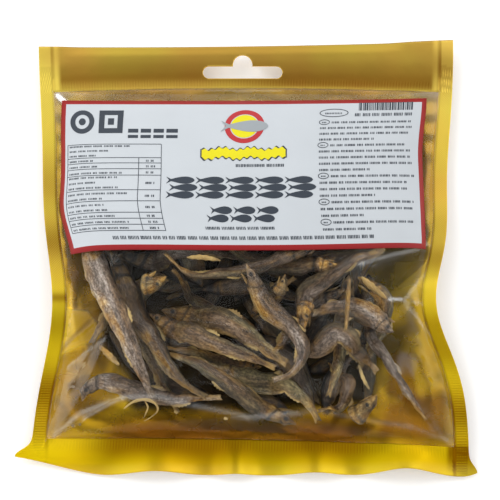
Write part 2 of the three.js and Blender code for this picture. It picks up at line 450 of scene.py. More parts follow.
def crinkle_group():
    """Fine creases of thin film, as a height: large soft ones, and small sharp ones."""
    inputs = {"Coordinates": "NodeSocketVector", "Size": "NodeSocketFloat"}
    group, taken, output = new_group("film_crinkle", inputs, {"Height": "NodeSocketFloat"})
    place, size = taken["Coordinates"], taken["Size"]
    links = {"Vector": place, "Scale": reckon(group, "MULTIPLY", size, 2.3)}
    sharp = add_node(group, "ShaderNodeTexVoronoi", links, feature="F1").outputs["Distance"]
    height = reckon(group, "MULTIPLY_ADD", sharp, 0.35, noise(group, place, size, 3.0))
    group.links.new(height, output.inputs["Height"])
    return group


CRINKLE = crinkle_group()


def emboss(tree, shader, height, distance, strength=1.0):
    """Gives a surface fine relief, up to a distance in metres, and returns its normal."""
    links = {"Height": height, "Distance": distance, "Strength": strength}
    relief = add_node(tree, "ShaderNodeBump", links).outputs["Normal"]
    tree.links.new(relief, shader.inputs["Normal"])
    return relief


def crinkle(tree, shader, place, depth, size):
    """Gives a film its fine creases, up to a depth in metres, and returns the normal."""
    links = {"Coordinates": place, "Size": size}
    creases = add_node(tree, "ShaderNodeGroup", links, node_tree=CRINKLE)
    return emboss(tree, shader, creases.outputs["Height"], depth)


def ramp(tree, source, stops):
    """A colour that runs through the stops, each a place and a colour."""
    node = add_node(tree, "ShaderNodeValToRGB", {0: source})
    elements = node.color_ramp.elements
    elements[0].position, elements[0].color = stops[0][0], (*stops[0][1], 1)
    elements[1].position, elements[1].color = stops[-1][0], (*stops[-1][1], 1)
    for place, colour in stops[1:-1]:
        elements.new(place).color = (*colour, 1)
    return node.outputs["Color"]


ORANGE_GOLD = (0.90, 0.59, 0.11)
LEMON_GOLD = (0.90, 0.70, 0.11)


def gold_film(name, crinkle_depth, crinkle_size, roughness):
    """Gold metallised film under a clear layer: lacquer that runs from orange to lemon gold in clouds. The
    mesh's stored tone multiplies in painted reflection and shade, browner where it is darker."""
    material, tree, shader = new_material(name)
    place = place_in(tree)
    lacquer = ramp(tree, noise(tree, place, 26.0, 2.0), ((0.38, ORANGE_GOLD), (0.62, LEMON_GOLD)))
    toned = blend(tree, 1.0, lacquer, stored(tree, "tone", "Color"), "MULTIPLY")
    tree.links.new(toned, shader.inputs["Base Color"])
    smear = between(tree, noise(tree, place, 90.0, 4.0), 0.0, 1.0, roughness - 0.06, roughness + 0.08)
    tree.links.new(smear, shader.inputs["Roughness"])
    crinkle(tree, shader, place, crinkle_depth, crinkle_size)
    shader.inputs["Metallic"].default_value = 1.0
    return material


def drawing_points(mesh):
    """A mesh's corners as x and y of the drawing, in millimetres."""
    return (corners_of(mesh) * 1000 - DRAWING_TO_FRAME).T[:2]


# Painted reflection and shade on the gold: it is painted browner where it should mirror dark surroundings
# or lie in shade, and lighter where it should mirror bright ones. It is also a purer yellow toward the
# bottom.
PAINTED_DARK_GOLD = (0.26, 0.155, 0.07)
# Painted bands of mirrored light and shade along a side weld: the y of the middle, the half length, and how
# brown, where below 0 is a painted highlight.
LEFT_PAINTED_BANDS = ((84, 6, 0.24), (26, 14, 0.44), (2, 10, 0.66), (-12, 5, 0.06), (-20.5, 2, 0.55),
              (-31, 8, 0.48), (-57, 10, 0.74), (-71, 6, 0.34), (-81, 6, -0.32))
RIGHT_PAINTED_BANDS = ((76, 8, 0.52), (30, 14, 0.12), (8.5, 8, 0.32), (-5, 7, 0.58), (-15, 2, -0.25),
               (-31, 7, 0.46), (-42, 7, 0.46), (-65, 10, 0.72), (-79, 5, 0.46))


def set_painted_shading(mesh, brown, green=1.0):
    """Stores painted reflection and shade as a colour on each corner: white where the film keeps its plain
    gold, down to dark painted gold where brown is 1. Less green makes it more orange. Blue is cut toward
    the bottom, and a pale painted reflection of the table is added along the lower edge."""
    y = drawing_points(mesh)[1]
    share = np.clip(brown, 0, 1)[:, None]
    colours = (1 - share) * (1, 1, 1, 1) + share * (*PAINTED_DARK_GOLD, 1)
    colours[:, 1] *= green
    blue = 0.05 + 0.09 * smooth((y + 80) / 8) + 0.66 * smooth((y + 35) / 40)
    colours[:, 2] *= blue + 0.2 * smooth((y - 40) / 30)
    # Painted reflection of the white table: the lower edge is paler.
    colours[:, 2] += 0.22 * smooth((-82 - y) / 4)
    store(mesh, "tone", "FLOAT_COLOR", colours)


def rim_painted_shading(mesh):
    """How far the rim is painted brown, as painted shade and reflection: shade in the pits of the pressed
    pattern and along the groove by the window, light and dark crimp ribs, and bands of mirrored light and
    dark along the welds.
    """
    x, y = drawing_points(mesh)
    knurl, crimp = pressed_pattern(x, y)
    from_side = weld_gaps(x, y)[0]
    # Painted shade in the knurl pits, painted light and shade on the crimp ribs, and painted shade along
    # the groove by the window.
    share = 0.20 * (0.6 - knurl) * (knurl != 0) - 0.07 * crimp
    share = share + 0.38 * smooth((from_side - 4.5) / 0.5) * smooth((6.3 - from_side) / 0.5)
    on_left, on_right = smooth((9 - x + left_edge(y)) / 2), smooth((9 - right_edge(y) + x) / 2)
    for on_side, stretches in ((on_left, LEFT_PAINTED_BANDS), (on_right, RIGHT_PAINTED_BANDS)):
        for middle, half, brown in stretches:
            share = share + brown * on_side * bump(y, middle, half)
    # Painted reflection and shade on the top and bottom welds: bands across the top weld, and the bottom
    # weld darker toward the window and on its right.
    past_top, past_bottom = y - top_weld(x), bottom_weld(x) - y
    rightward = smooth((x + 10) / 30)
    on_top = smooth(past_top) * (1 - on_left) * (1 - on_right)
    share = share + on_top * (0.49 + 0.34 * bump(past_top, 5, 3) + 0.18 * bump(past_top, 9.5, 3))
    share = share + on_top * 0.25 * rightward * bump(past_top, 2, 2)
    middle = smooth((66 - np.abs(x + 4)) / 22)
    on_bottom = smooth(past_bottom + 1) * (1 - on_left)
    share = share + on_bottom * middle * (0.12 + 0.76 * smooth((y - bottom_edge(x) + 2) / 12))
    share = share + on_bottom * 0.42 * smooth((x - 40) / 20) * bump(past_bottom, 5, 8)
    return share


rim_gold = gold_film("rim_gold", crinkle_depth=0.00008, crinkle_size=130.0, roughness=0.42)
rim_mesh = mesh_from_grid("welded_rim", RIM_COLUMNS, RIM_ROWS, rim_points, in_welds)
set_painted_shading(rim_mesh, rim_painted_shading(rim_mesh))
rim = add_piece("welded_rim", rim_mesh, rim_gold)
thicken(rim, WELD_THICKNESS)
punch = slot_cutter()
cut = rim.modifiers.new("slot", "BOOLEAN")
cut.object = punch
cut.operation = "DIFFERENCE"
cut.solver = "EXACT"
cut.use_self = True
settle(rim)
bpy.data.objects.remove(punch)
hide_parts("pouch")


# Foil back: gold metallised film that lies flat on the table under the fish and turns up to the welds. It
# shows through the clear front beside the fish, and all over from below. Its edge is sealed inside the rim.
BACK_TURN = 24.0
FILM_THICKNESS = 0.12
TUCK = 0.9
BACK_COLUMNS = 170
BACK_ROWS = 150
BACK_LIFT = 0.1


def window_points(u, v):
    """Points of the window, and of the strip of film that is sealed inside the rim round it."""
    x = (2 * u - 1) * 77
    for _ in range(5):
        low, high = bottom_weld(x) - TUCK, top_weld(x) + TUCK
        y = low + (high - low) * v
        left, right = left_edge(y) + SIDE_WELD - TUCK, right_edge(y) - SIDE_WELD + TUCK
        x = left + (right - left) * u
    return x, y


def back_height(x, y):
    rim_under = rim_height(x, y) - WELD_THICKNESS / 2
    side_gap, end_gap = window_place(x, y)[2:]
    down = smooth(side_gap / BACK_TURN) * smooth(end_gap / BACK_TURN)
    pucker = 0.7 * np.sin(x * 0.16 + y * 0.19) * bump(np.minimum(side_gap, end_gap), 10, 6)
    pulls = 0.22 * np.sin(y * 0.55 + 2 * np.sin(y * 0.13)) * bump(side_gap, 4, 4)
    pulls = pulls + 0.10 * np.sin(x * 0.45 + 2 * np.sin(x * 0.09)) * bump(end_gap, 5, 4)
    height = np.maximum(0, rim_under * (1 - down) + (pucker + pulls) * (1 - down))
    return np.where((side_gap <= 0) | (end_gap <= 0), rim_under, height)


def back_points(u, v):
    x, y = window_points(u, v)
    return to_frame(x, y, back_height(x, y) + BACK_LIFT)


def inside(x, y, corners, blur):
    """1 inside a convex outline whose corners run clockwise, and 0 outside, with a blurred edge."""
    mask = 1
    for (x0, y0), (x1, y1) in zip(corners, corners[1:] + corners[:1]):
        inward = ((y1 - y0) * (x - x0) - (x1 - x0) * (y - y0)) / math.hypot(x1 - x0, y1 - y0)
        mask = mask * smooth(0.5 + inward / blur)
    return mask


def with_planes(share, x, y, planes):
    """Adds to each point what the planes round it give. Each has its corners, edge blur and value."""
    for corners, blur, value in planes:
        share = share + value * inside(x, y, corners, blur)
    return share


# Painted reflection and shade on the crumpled back beside the fish, as bright and dark planes: corners,
# edge blur and how much browner.
PAINTED_BACK_PLANES = (
    (((-69, -24), (-58, -23), (-53, -31), (-60, -38), (-71, -43)), 1.0, -0.30),
    (((-72.4, -42.4), (-60, -27.4), (-59.2, -28.6), (-71.6, -43.6)), 0.8, 0.45),
    (((-72, 4), (-60, 4), (-58, -22), (-66, -22)), 4.0, 0.02),
    (((-74, -42), (-52, -40), (-48, -62), (-70, -70)), 5.0, 0.22),
    (((46, 6), (68, 4), (66, -16), (50, -24)), 4.0, -0.30),
    (((56, -40), (63, -41), (66, -62), (54, -56)), 2.0, 0.32),
    (((54, -60), (76, -56), (76, -74), (50, -74)), 5.0, 0.34),
)
# Planes that scatter the light more than they mirror it: corners, edge blur and how matt.
MATT_PLANES = (
    (((-73, -25), (-61, -25), (-54.4, -33.3), (-57, -35.5), (-70, -42), (-74, -42)), 0.8, 1.0),
    (((57.5, -4), (67.5, -5), (55.5, -17)), 2.0, 0.2),
    (((55, -18), (71.5, -5), (67.5, -20.5)), 1.0, 0.4),
)


# Painted reflection and shade on the back's gold: browner toward the bottom middle and low on the right,
# with the painted planes added on top.
def back_painted_shading(mesh):
    x, y = drawing_points(mesh)
    share = 0.42 + 0.58 * smooth((-62 - y) / 9) * smooth((62 - np.abs(x + 4)) / 20)
    share = share + 0.16 * smooth((x - 40) / 10) * smooth((-20 - y) / 10)
    return with_planes(share, x, y, PAINTED_BACK_PLANES)


def shaded_gold(name):
    """The inner side of the back: the same gold, matt on some planes, with painted shade, dull and dark,
    where the fish lie on it and shut the light out."""
    material = gold_film(name, crinkle_depth=0.00045, crinkle_size=55.0, roughness=0.26)
    tree = material.node_tree
    shader = tree.nodes["Principled BSDF"]
    colour = shader.inputs["Base Color"].links[0].from_socket
    gold_in_painted_shade = blend(tree, stored(tree, "fish_shade"), colour, (0.014, 0.012, 0.011, 1))
    tree.links.new(gold_in_painted_shade, shader.inputs["Base Color"])
    metal = between(tree, stored(tree, "matt"), 0.0, 1.0, 0.84, 0.24)
    tree.links.new(metal, shader.inputs["Metallic"])
    return material


# Painted shade on the inner gold: how dark it is painted under the heap of fish.
def painted_shade_under_fish(mesh):
    x, y = drawing_points(mesh)
    left, right = -56 + 12 * smooth((-34 - y) / 20), 50 - 8 * smooth((y + 28) / 8)
    across = smooth((x - left + 3) / 6) * smooth((right + 3 - x) / 6)
    return 0.93 * across * smooth((y + 62 - 0.03 * x + 3) / 6) * smooth((62 - y) / 6)


back_gold = gold_film("back_gold", crinkle_depth=0.00025, crinkle_size=70.0, roughness=0.24)
back_mesh = mesh_from_grid("foil_back", BACK_COLUMNS, BACK_ROWS, back_points)
set_painted_shading(back_mesh, back_painted_shading(back_mesh), 0.90)
store(back_mesh, "fish_shade", "FLOAT", painted_shade_under_fish(back_mesh))
store(back_mesh, "matt", "FLOAT", with_planes(0, *drawing_points(back_mesh), MATT_PLANES))
foil_back = add_piece("foil_back", back_mesh, shaded_gold("inner_gold"), back_gold)
thicken(foil_back, FILM_THICKNESS)
foil_back.modifiers["thickness"].material_offset = 1
foil_back.modifiers["thickness"].material_offset_rim = 1
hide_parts("pouch")


# Clear front: thin stiff film that stands up over the fish, creased where it is gathered into the welds.
# Fish press ridges into it from inside. Sharp folds run from corners and waist, and whiten where bent.
CROWN_HEIGHT = 29.5
FRONT_DROP = 0.15
LABEL_LOW_Y = -8.8
FRONT_COLUMNS = 210
FRONT_ROWS = 190

# Each runs from x, y to x, y, with its half width and its height.
FISH_RIDGES = (
    (-64, -10, -40, -54, 5, 1.6),
    (-54, -8, -26, -58, 5, 1.6),
    (-33, -28, 8, -42, 6, 1.8),
    (0, -20, 18, -48, 6, 1.8),
    (-10, -30, 40, -36, 5, 1.2),
    (22, -34, 42, -52, 5, 1.4),
    (44, -22, 54, -50, 5, 1.6),
    (56, -38, 72, -70, 4, 2.2),
    (-20, -56, 22, -64, 5, 1.4),
)
FILM_FOLDS = (
    (-77, -75, -54, -36, 3.5, 2.4),
    (-77, -75, -48, -61, 3, 1.8),
    (-76, -44, -56, -32, 3, -3.2),
    (-76, -24, -58, -30, 2.5, 2.0),
    (-72, -8, -66, -34, 3, -1.8),
    (77, -77, 58, -58, 3, 1.8),
    (76, -40, 60, -24, 3, 2.4),
    (75, -22, 60, -23, 3, -3.4),
    (60, -24, 74, -4, 3, 2.0),
    (72, -56, 60, -26, 3.5, -1.8),
    (74, 2, 46, -14, 2.5, 1.2),
)


def along_line(x, y, line, sharp):
    """A ridge or fold: its height at each point, fading out at both ends."""
    x0, y0, x1, y1, width, height = line
    length = math.hypot(x1 - x0, y1 - y0)
    ux, uy = (x1 - x0) / length, (y1 - y0) / length
    run = (x - x0) * ux + (y - y0) * uy
    off = np.abs((x - x0) * uy - (y - y0) * ux) / width
    ends = smooth((run + width) / (2 * width)) * smooth((length - run + width) / (2 * width))
    return height * ends * (np.exp(-1.4 * off) if sharp else np.exp(-off * off))


def front_height(x, y):
    rim_top = rim_height(x, y) + WELD_THICKNESS / 2
    across, along, side_gap, end_gap = window_place(x, y)
    inside_along = 1 - np.minimum(np.abs(along), 1) ** 2.4
    inside_across = 1 - np.minimum(np.abs(across), 1) ** 2.5
    crown = CROWN_HEIGHT * inside_along ** 0.62 * (1 - 0.18 * along) * inside_across ** 0.7
    inside = smooth(np.minimum(side_gap, end_gap) / 7)
    waist = 0.4 + bump(y, WAIST_Y, 40)
    relief = 0.7 * np.sin(y * 0.62 + 1.5 * np.sin(y * 0.13)) * bump(side_gap, 5, 5) * waist
    for ridge in FISH_RIDGES:
        relief = relief + along_line(x, y, ridge, sharp=False)
    for fold in FILM_FOLDS:
        relief = relief + along_line(x, y, fold, sharp=True)
    stiffened = 0.9 * smooth((y - LABEL_LOW_Y + 5) / 8) * smooth((side_gap - 1) / 6)
    height = np.maximum(rim_top, rim_top + crown + relief * inside * (1 - stiffened))
    return np.where((side_gap <= 0) | (end_gap <= 0), rim_top, height)


def front_points(u, v):
    x, y = window_points(u, v)
    return to_frame(x, y, front_height(x, y) - FRONT_DROP)


# Whitened creases of the film, and painted glints on two of them: points along each, its half width and how
# white it is.
WHITE_CREASES_AND_GLINTS = (
    # A painted glare streak: a bright highlight in the window's top left corner.
    (((-76, 65), (-70, 58)), 0.7, 0.75),
    (((-67, -48.8), (-52, -40)), 0.5, 0.07),
    (((-73, -74), (-62, -66), (-44, -61), (-32, -61), (-20, -64), (2, -68)), 0.9, 0.10),
    (((2, -68), (27, -66), (46, -69), (63, -71), (76, -75)), 0.8, 0.06),
    (((42, -13), (64, -4), (71, 1)), 0.7, 0.09),
    (((59, -25), (69, -11)), 0.7, 0.08),
    (((59, -25), (73, -22)), 0.6, 0.10),
    # A painted glint at the right waist.
    (((53, -25), (59, -24)), 0.5, 0.30),
    (((60, -26), (74, -39), (76, -48)), 0.7, 0.08),
    (((-61, -68), (-52, -64), (-45, -61)), 0.5, 0.14),
)
# Painted reflection on the film: hazy planes that stand for its veil of mirrored light, with corners, edge
# blur and how white.
PAINTED_SHEEN_PLANES = (
    (((-67.2, -48.8), (-52, -40), (-56.5, -50), (-62.6, -61), (-73, -74.8)), 0.8, 0.042),
    (((57, -45), (64, -46), (62, -54), (55, -52)), 2.5, 0.03),
)


def film_white_and_sheen(mesh):
    """How white the film is: whitened along its folds and creases and in the gathers beside the welds, with
    painted reflection on hazy planes and painted glints on two creases, and a little whiter above the
    label.
    """
    x, y = drawing_points(mesh)
    white_and_sheen = 0
    for *line, width, _ in FILM_FOLDS:
        white_and_sheen = white_and_sheen + along_line(x, y, (*line, 0.5 * width, 0.02), sharp=True)
    for points, width, white in WHITE_CREASES_AND_GLINTS:
        for start, end in zip(points, points[1:]):
            white_and_sheen = np.maximum(white_and_sheen, along_line(x, y, (*start, *end, width, white), sharp=False))
    white_and_sheen = with_planes(white_and_sheen, x, y, PAINTED_SHEEN_PLANES)
    side_gap, end_gap = window_place(x, y)[2:]
    white_and_sheen = white_and_sheen + 0.05 * bump(end_gap, 1, 2) * (y > 0) + 0.02 * bump(side_gap, 1, 2)
    return np.clip(white_and_sheen + 0.02 * smooth((y - 50) / 8), 0, 0.8)


def clear_film():
    """Clear film: see-through where it faces the eye, a mirror seen edge on, and white where creased and
    where painted reflection and glints are stored.
    """
    material, tree, shader = new_material("clear_film")
    relief = crinkle(tree, shader, place_in(tree), 0.00015, 60.0)
    shader.inputs["Base Color"].default_value = (0.95, 0.95, 0.95, 1)
    shader.inputs["Roughness"].default_value = 0.06
    clear = add_node(tree, "ShaderNodeBsdfTransparent", {"Color": (0.98, 0.98, 0.97, 1)})
    facing = add_node(tree, "ShaderNodeLayerWeight", {"Blend": 0.5, "Normal": relief}).outputs["Facing"]
    mirror = between(tree, reckon(tree, "POWER", facing, 8.0), 0.0, 1.0, 0.006, 0.45)
    stored_white_and_sheen = stored(tree, "white_and_sheen")
    tree.links.new(between(tree, stored_white_and_sheen, 0.0, 0.12, 1.0, 0.3), shader.inputs["Metallic"])
    cover = reckon(tree, "ADD", mirror, stored_white_and_sheen, clamp=True)
    links = {0: cover, 1: clear.outputs[0], 2: shader.outputs[0]}
    mixed = add_node(tree, "ShaderNodeMixShader", links)
    tree.links.new(mixed.outputs[0], tree.nodes["Material Output"].inputs["Surface"])
    return material


front_mesh = mesh_from_grid("front_film", FRONT_COLUMNS, FRONT_ROWS, front_points)
store(front_mesh, "white_and_sheen", "FLOAT", film_white_and_sheen(front_mesh))
front_film = add_piece("front_film", front_mesh, clear_film())
thicken(front_film, FILM_THICKNESS)
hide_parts("pouch")


# Loose heads: golden heads that broke off the dried fish, with their round eyes and gaping jaws. They lie
# on top of the heap, right under the film that clasps it, and so do the scraps and the fish that follow.
FISH_ROWS = 88
FISH_SIDES = 36
HIDDEN_ROWS = 46
HIDDEN_SIDES = 20
BED_ROWS = 22
BED_SIDES = 12
TAIL_START = 0.90
FORK_START = 0.93
HEAD_END = 0.22
CHEEK_AT = 0.155
JAW_REACH = 0.135
JAW_DEPTH = 0.085
EYE_AT = 0.072
EYE_HEIGHT = 0.04
EYE_SIZE = 0.028
PATH_STEPS = 90
GRAIN_SPREAD = 500
FISH_GAP = -0.25
SPINE_STIFFNESS = 8
FILM_GAP = 0.45
MAP_CELL = 1.0
MAP_HALF_X = 88
MAP_HALF_Y = 90
MAP_WELD_GAP = 2
MAP_LANES = 11
BODY_ROOM = 0.56

# Half depth above and below the spine, and half thickness, as shares of the fullest, along the fish.
BACK_PROFILE = (
    (0, 0.05), (0.02, 0.17), (0.05, 0.32), (0.10, 0.52), (0.17, 0.76), (0.26, 0.94), (0.38, 1.0),
    (0.52, 0.90), (0.66, 0.70), (0.78, 0.50), (0.86, 0.38), (0.90, 0.28), (0.94, 0.26), (1.0, 0.36),
)
BELLY_PROFILE = (
    (0, 0.04), (0.02, 0.14), (0.05, 0.34), (0.10, 0.60), (0.17, 0.86), (0.26, 1.02), (0.38, 1.0),
    (0.52, 0.84), (0.66, 0.62), (0.78, 0.44), (0.86, 0.36), (0.90, 0.28), (0.94, 0.27), (1.0, 0.32),
)
SIDE_PROFILE = (
    (0, 0.06), (0.02, 0.26), (0.05, 0.56), (0.10, 0.82), (0.17, 1.0), (0.26, 0.98), (0.38, 0.90),
    (0.52, 0.78), (0.66, 0.60), (0.78, 0.42), (0.86, 0.26), (0.90, 0.15), (0.93, 0.08), (1.0, 0.05),
)


def place_in_order(face):
    """A number that sorts faces by their corners, so that a mesh comes out the same each run."""
    first, second, third = sorted(corner.index for corner in face.verts)[:3]
    return (first * 1e4 + second) * 1e4 + third


def round_template(rows, sides):
    """A closed round form: its mesh, and how far along it, up and out each of its corners lies. Along runs
    from 0 to 1, up from -1 on its belly to 1 on its back, and out from -1 to 1 across it."""
    bm = bmesh.new()
    bmesh.ops.create_uvsphere(bm, u_segments=sides, v_segments=rows, radius=1)
    bm.verts.index_update()
    bm.faces.sort(key=place_in_order)
    mesh = finished_mesh(bm, "round")
    x, y, z = corners_of(mesh).astype(float).T
    ring = np.hypot(x, y)
    at_pole = ring < 1e-4
    ring = np.where(at_pole, 1, ring)
    along = np.arccos(np.clip(z, -1, 1)) / math.pi
    return mesh, along, np.where(at_pole, 0, x / ring), np.where(at_pole, 0, -y / ring)


def add_round(heap, mesh, points, grain, traits):
    """Joins a copy of the mesh to the heap, with its corners at the points and with what colours it."""
    copy = mesh.copy()
    place_corners(copy, points)
    store(copy, "grain", "FLOAT_VECTOR", grain)
    store(copy, "traits", "FLOAT_COLOR", traits)
    heap.from_mesh(copy)
    bpy.data.meshes.remove(copy)


def running_mean(values, window):
    """Values smoothed under a window of weights, whose count is odd."""
    padded = np.pad(values, len(window) // 2, mode="edge")
    return np.convolve(padded, window / window.sum(), mode="valid")


def profile(share, table):
    """A rounded curve through a table of places and values."""
    places, values = np.array(table).T
    fine = np.linspace(0, 1, 401)
    return np.interp(share, fine, running_mean(np.interp(fine, places, values), np.hanning(19)))


def run_along(path):
    """How far along a path each of its points lies."""
    return np.concatenate(((0,), np.cumsum(np.linalg.norm(np.diff(path, axis=0), axis=1))))


def read_off(wanted, run, rows):
    """Rows that belong to the points of a path, read off between them at the wanted distances along it."""
    return np.stack([np.interp(wanted, run, axis) for axis in rows.T], axis=1)


def smooth_path(points):
    """A round path through a few points, as points at even steps along it, and its length."""
    points = np.array(points, float)
    padded = np.vstack((2 * points[0] - points[1], points, 2 * points[-1] - points[-2]))
    t = np.linspace(0, len(points) - 1 - 1e-9, 40 * len(points))
    start = t.astype(int)
    f = (t - start)[:, None]
    a, b, c, d = padded[start], padded[start + 1], padded[start + 2], padded[start + 3]
    curve = 2 * b + (c - a) * f
    curve = curve + (2 * a - 5 * b + 4 * c - d) * f ** 2
    curve = 0.5 * (curve + (3 * b - a - 3 * c + d) * f ** 3)
    run = run_along(curve)
    return read_off(np.linspace(0, run[-1], PATH_STEPS), run, curve), run[-1]


def unit(vectors):
    return vectors / np.linalg.norm(vectors, axis=-1, keepdims=True)


def bend(points, spine, roll, twist):
    """Carries a straight fish, which lies along x, onto its spine. Roll turns it from lying on its side."""
    run = run_along(spine)
    at = points[:, 0]
    centre = read_off(at, run, spine)
    ahead = unit(read_off(at, run, unit(np.gradient(spine, axis=0))))
    centre = centre + ahead * (np.minimum(at, 0) + np.maximum(at - run[-1], 0))[:, None]
    side = unit(np.cross((0, 0, 1), ahead))
    up = np.cross(ahead, side)
    turn = (roll + twist * at / run[-1])[:, None]
    depth_axis = np.cos(turn) * side + np.sin(turn) * up
    flank_axis = np.cos(turn) * up - np.sin(turn) * side
    return centre + points[:, 1:2] * depth_axis + points[:, 2:3] * flank_axis


def waves(points, sizes, heights, rng):
    """Smooth random relief: for each size in millimetres, a few waves that run in random directions."""
    total = 0
    for size, height in zip(sizes, heights):
        for _ in range(3):
            direction = rng.normal(size=3)
            direction *= 2 * math.pi / (size * np.linalg.norm(direction))
            total = total + height * np.sin(points @ direction + rng.uniform(0, 6.3)) / 1.7
    return total


# Ridges of dried flesh: the height of each set as a share of the thickness, its count round and its slant.
SHRIVELLED_RIDGES = ((0.05, 3, 4), (0.03, 5, -6), (0.018, 9, 9), (0.008, 15, -9))


def shrivelling(share, up, out, phase):
    """Lengthwise ridges and cross wrinkles of dried flesh, as shares of its thickness."""
    around = np.arctan2(out, up)
    ridges = 0
    for number, (height, count, slant) in enumerate(SHRIVELLED_RIDGES):
        ridges = ridges + height * np.cos(count * around + phase[number] + slant * share)
    wrinkles = 0.012 * np.sin(47 * share + 2 * up + phase[4])
    wrinkles = wrinkles + 0.007 * np.sin(95 * share + 3 * out + phase[5])
    return ridges + wrinkles


def golden_and_thin(share, up, head, tail, phase, rng):
    """How golden and how thin dried skin is: golden on head, belly and tail, and thin on the belly."""
    belly = smooth((-up - 0.34 - 0.40 * np.sin(4.2 * share + phase[2])) / 0.35) * (1 - head)
    uneven = smooth(0.62 + 0.6 * np.sin(8 * share + phase[1]) + 0.4 * np.sin(19 * share + phase[3]))
    golden = rng.uniform(0.25, 0.8) * head + rng.uniform(0.4, 1.0) * belly * uneven
    golden = np.clip(golden + rng.uniform(0.2, 0.9) * smooth((share - 0.74) / 0.14), 0, 1)
    thin = 0.30 * tail + rng.uniform(0.1, 0.9) * uneven * (1 - head) * smooth((-up - 0.80) / 0.15)
    return golden, np.clip(thin, 0, 1)


def fish_body(template, length, depth, thickness, gape, rng, kept=1):
    """A straight dried fish: its points in millimetres, and how golden, thin, dark and browned each one is.
    Where only a share of its length is kept, the break is rounded off."""
    along, up, out = template[1:]
    share = kept * (0.55 * along + 0.45 * along ** 2)
    broken = np.sqrt(np.clip((kept - share) / 0.03, 0, 1)) if kept < 1 else 1
    head = 1 - smooth((share - HEAD_END + 0.03 * up * up + 0.02) / 0.02)
    tail = smooth((share - TAIL_START) / 0.03)
    flesh = smooth((share - HEAD_END) / 0.05) * (1 - tail)
    phase = rng.uniform(0, 6.3, 8)
    furrow = rng.uniform(0.05, 0.26) * bump(up, 0.12 + 0.16 * np.sin(5 * share + phase[6]), 0.15)
    furrow = furrow + 0.10 * bump(up, -0.45, 0.2)
    swell = (1 + flesh * shrivelling(share, up, out, phase) + 0.07 * head) * broken
    above = profile(share, BACK_PROFILE)
    below = profile(share, BELLY_PROFILE) * (1 - 0.5 * gape * bump(share, 0.06, 0.05))
    y = up * np.where(up > 0, above, below) * depth / 2 * swell
    z = out * profile(share, SIDE_PROFILE) * thickness / 2 * swell * (1 - flesh * furrow)
    fork = 0.66 + 0.34 * np.abs(up) ** 1.4 + 0.10 * np.sin(11 * up + phase[7]) + 0.05 * np.sin(23 * up)
    x = length * np.where(share > FORK_START, FORK_START + (share - FORK_START) * fork, share)
    points = np.stack((x, y, z), axis=1)

    eye = np.hypot(x - EYE_AT * length, y - EYE_HEIGHT * depth)
    eye_size = EYE_SIZE * length
    flank = np.abs(out)
    jaw_line = bump(y + 0.12 * depth + 0.22 * x, 0, 0.30) * smooth((0.17 - share) / 0.03) * head
    cheek = bump(share, CHEEK_AT + 0.02 * up, 0.012) * head
    relief = 0.22 * bump(eye, eye_size * 1.3, eye_size * 0.4) - 0.5 * bump(eye, 0, eye_size * 0.8)
    points[:, 2] += np.sign(out) * (head * flank * relief - 0.35 * jaw_line * flank - 0.2 * cheek * flank)
    rough = waves(points, (9.0, 4.0, 1.6), (0.28, 0.12, 0.04), rng)
    rough = rough * (1 - 0.9 * tail) * smooth(share / 0.05)
    points[:, 1] += rough * up
    points[:, 2] += rough * out * 0.8

    golden, thin = golden_and_thin(share, up, head, tail, phase, rng)
    dark = 0.8 * jaw_line + 0.6 * cheek + 0.35 * smooth((up - 0.6) / 0.3)
    dark = np.clip(dark + bump(eye, 0, eye_size * 1.1) * head, 0, 1)
    browner = flesh * (0.30 * smooth((up - 0.15) / 0.4) + 0.15 * np.sin(9 * share + 2 * up + phase[0]))
    return points, golden, thin, dark, browner


def eyes_of(template, length, depth, thickness):
    """Both eyes of a straight fish, one after the other: a dark pupil in a golden ring."""
    along, up, out = template[1:]
    size = EYE_SIZE * length
    height = -np.cos(along * math.pi)
    reach = np.sin(along * math.pi)
    for side in (1, -1):
        x = EYE_AT * length + size * reach * up
        y = EYE_HEIGHT * depth + size * reach * out * side
        z = side * (thickness * 0.25 + 0.45 * size * height)
        pupil = smooth((0.62 - reach) / 0.12)
        yield np.stack((x, y, z), axis=1), 0.4 * (1 - pupil), 0 * pupil, 0.15 + 0.85 * pupil, 0 * pupil


def evenly_coloured(x, y, z, golden, thin, dark):
    """Points that are all as golden, thin and dark as each other."""
    return np.stack((x, y, z), axis=1), golden + 0 * x, thin + 0 * x, dark + 0 * x, 0 * x


def jaw_of(template, length, depth, gape):
    """The lower jaw of a straight fish, a thin blade hinged under the cheek and swung open by the gape."""
    along, up, out = template[1:]
    run = JAW_REACH * length * along
    width = np.sin(np.clip(along, 0.02, 1) ** 0.7 * math.pi) * 0.6 + 0.1
    blade = up * width * JAW_DEPTH * depth * 1.5
    angle = 0.20 + 0.55 * gape
    x = CHEEK_AT * length - run * math.cos(angle) - blade * math.sin(angle)
    y = -0.30 * depth - run * (math.sin(angle) - 0.36) + blade * math.cos(angle)
    return evenly_coloured(x, y, -(out * width * JAW_DEPTH * depth), 0.8, 0.3, 0.1)


# Fins: where each starts and its span as shares of the length, its rise, whether it is below, its lean.
FINS = ((0.46, 0.12, 1.6, False, 1), (0.62, 0.16, 1.2, True, 1), (0.25, 0.09, 1.0, True, 2))


def fin_of(template, length, depth, start, span, rise, below, lean):
    """A shrunken fin: a thin ragged blade on the back or the belly."""
    along, up, out = template[1:]
    x = length * (start + span * along) + lean * np.clip(up, 0, 1) * length * 0.03
    edge = profile(start + span * along, BELLY_PROFILE if below else BACK_PROFILE) * depth / 2
    tooth = 1 + 0.25 * np.sin(along * 40)
    height = edge * 0.86 + np.clip(up, -0.2, 1) * rise * np.sin(along * math.pi) ** 0.6 * tooth
    side = -1 if below else 1
    return evenly_coloured(x, side * height, side * out * 0.14, 0.6, 0.9, 0)


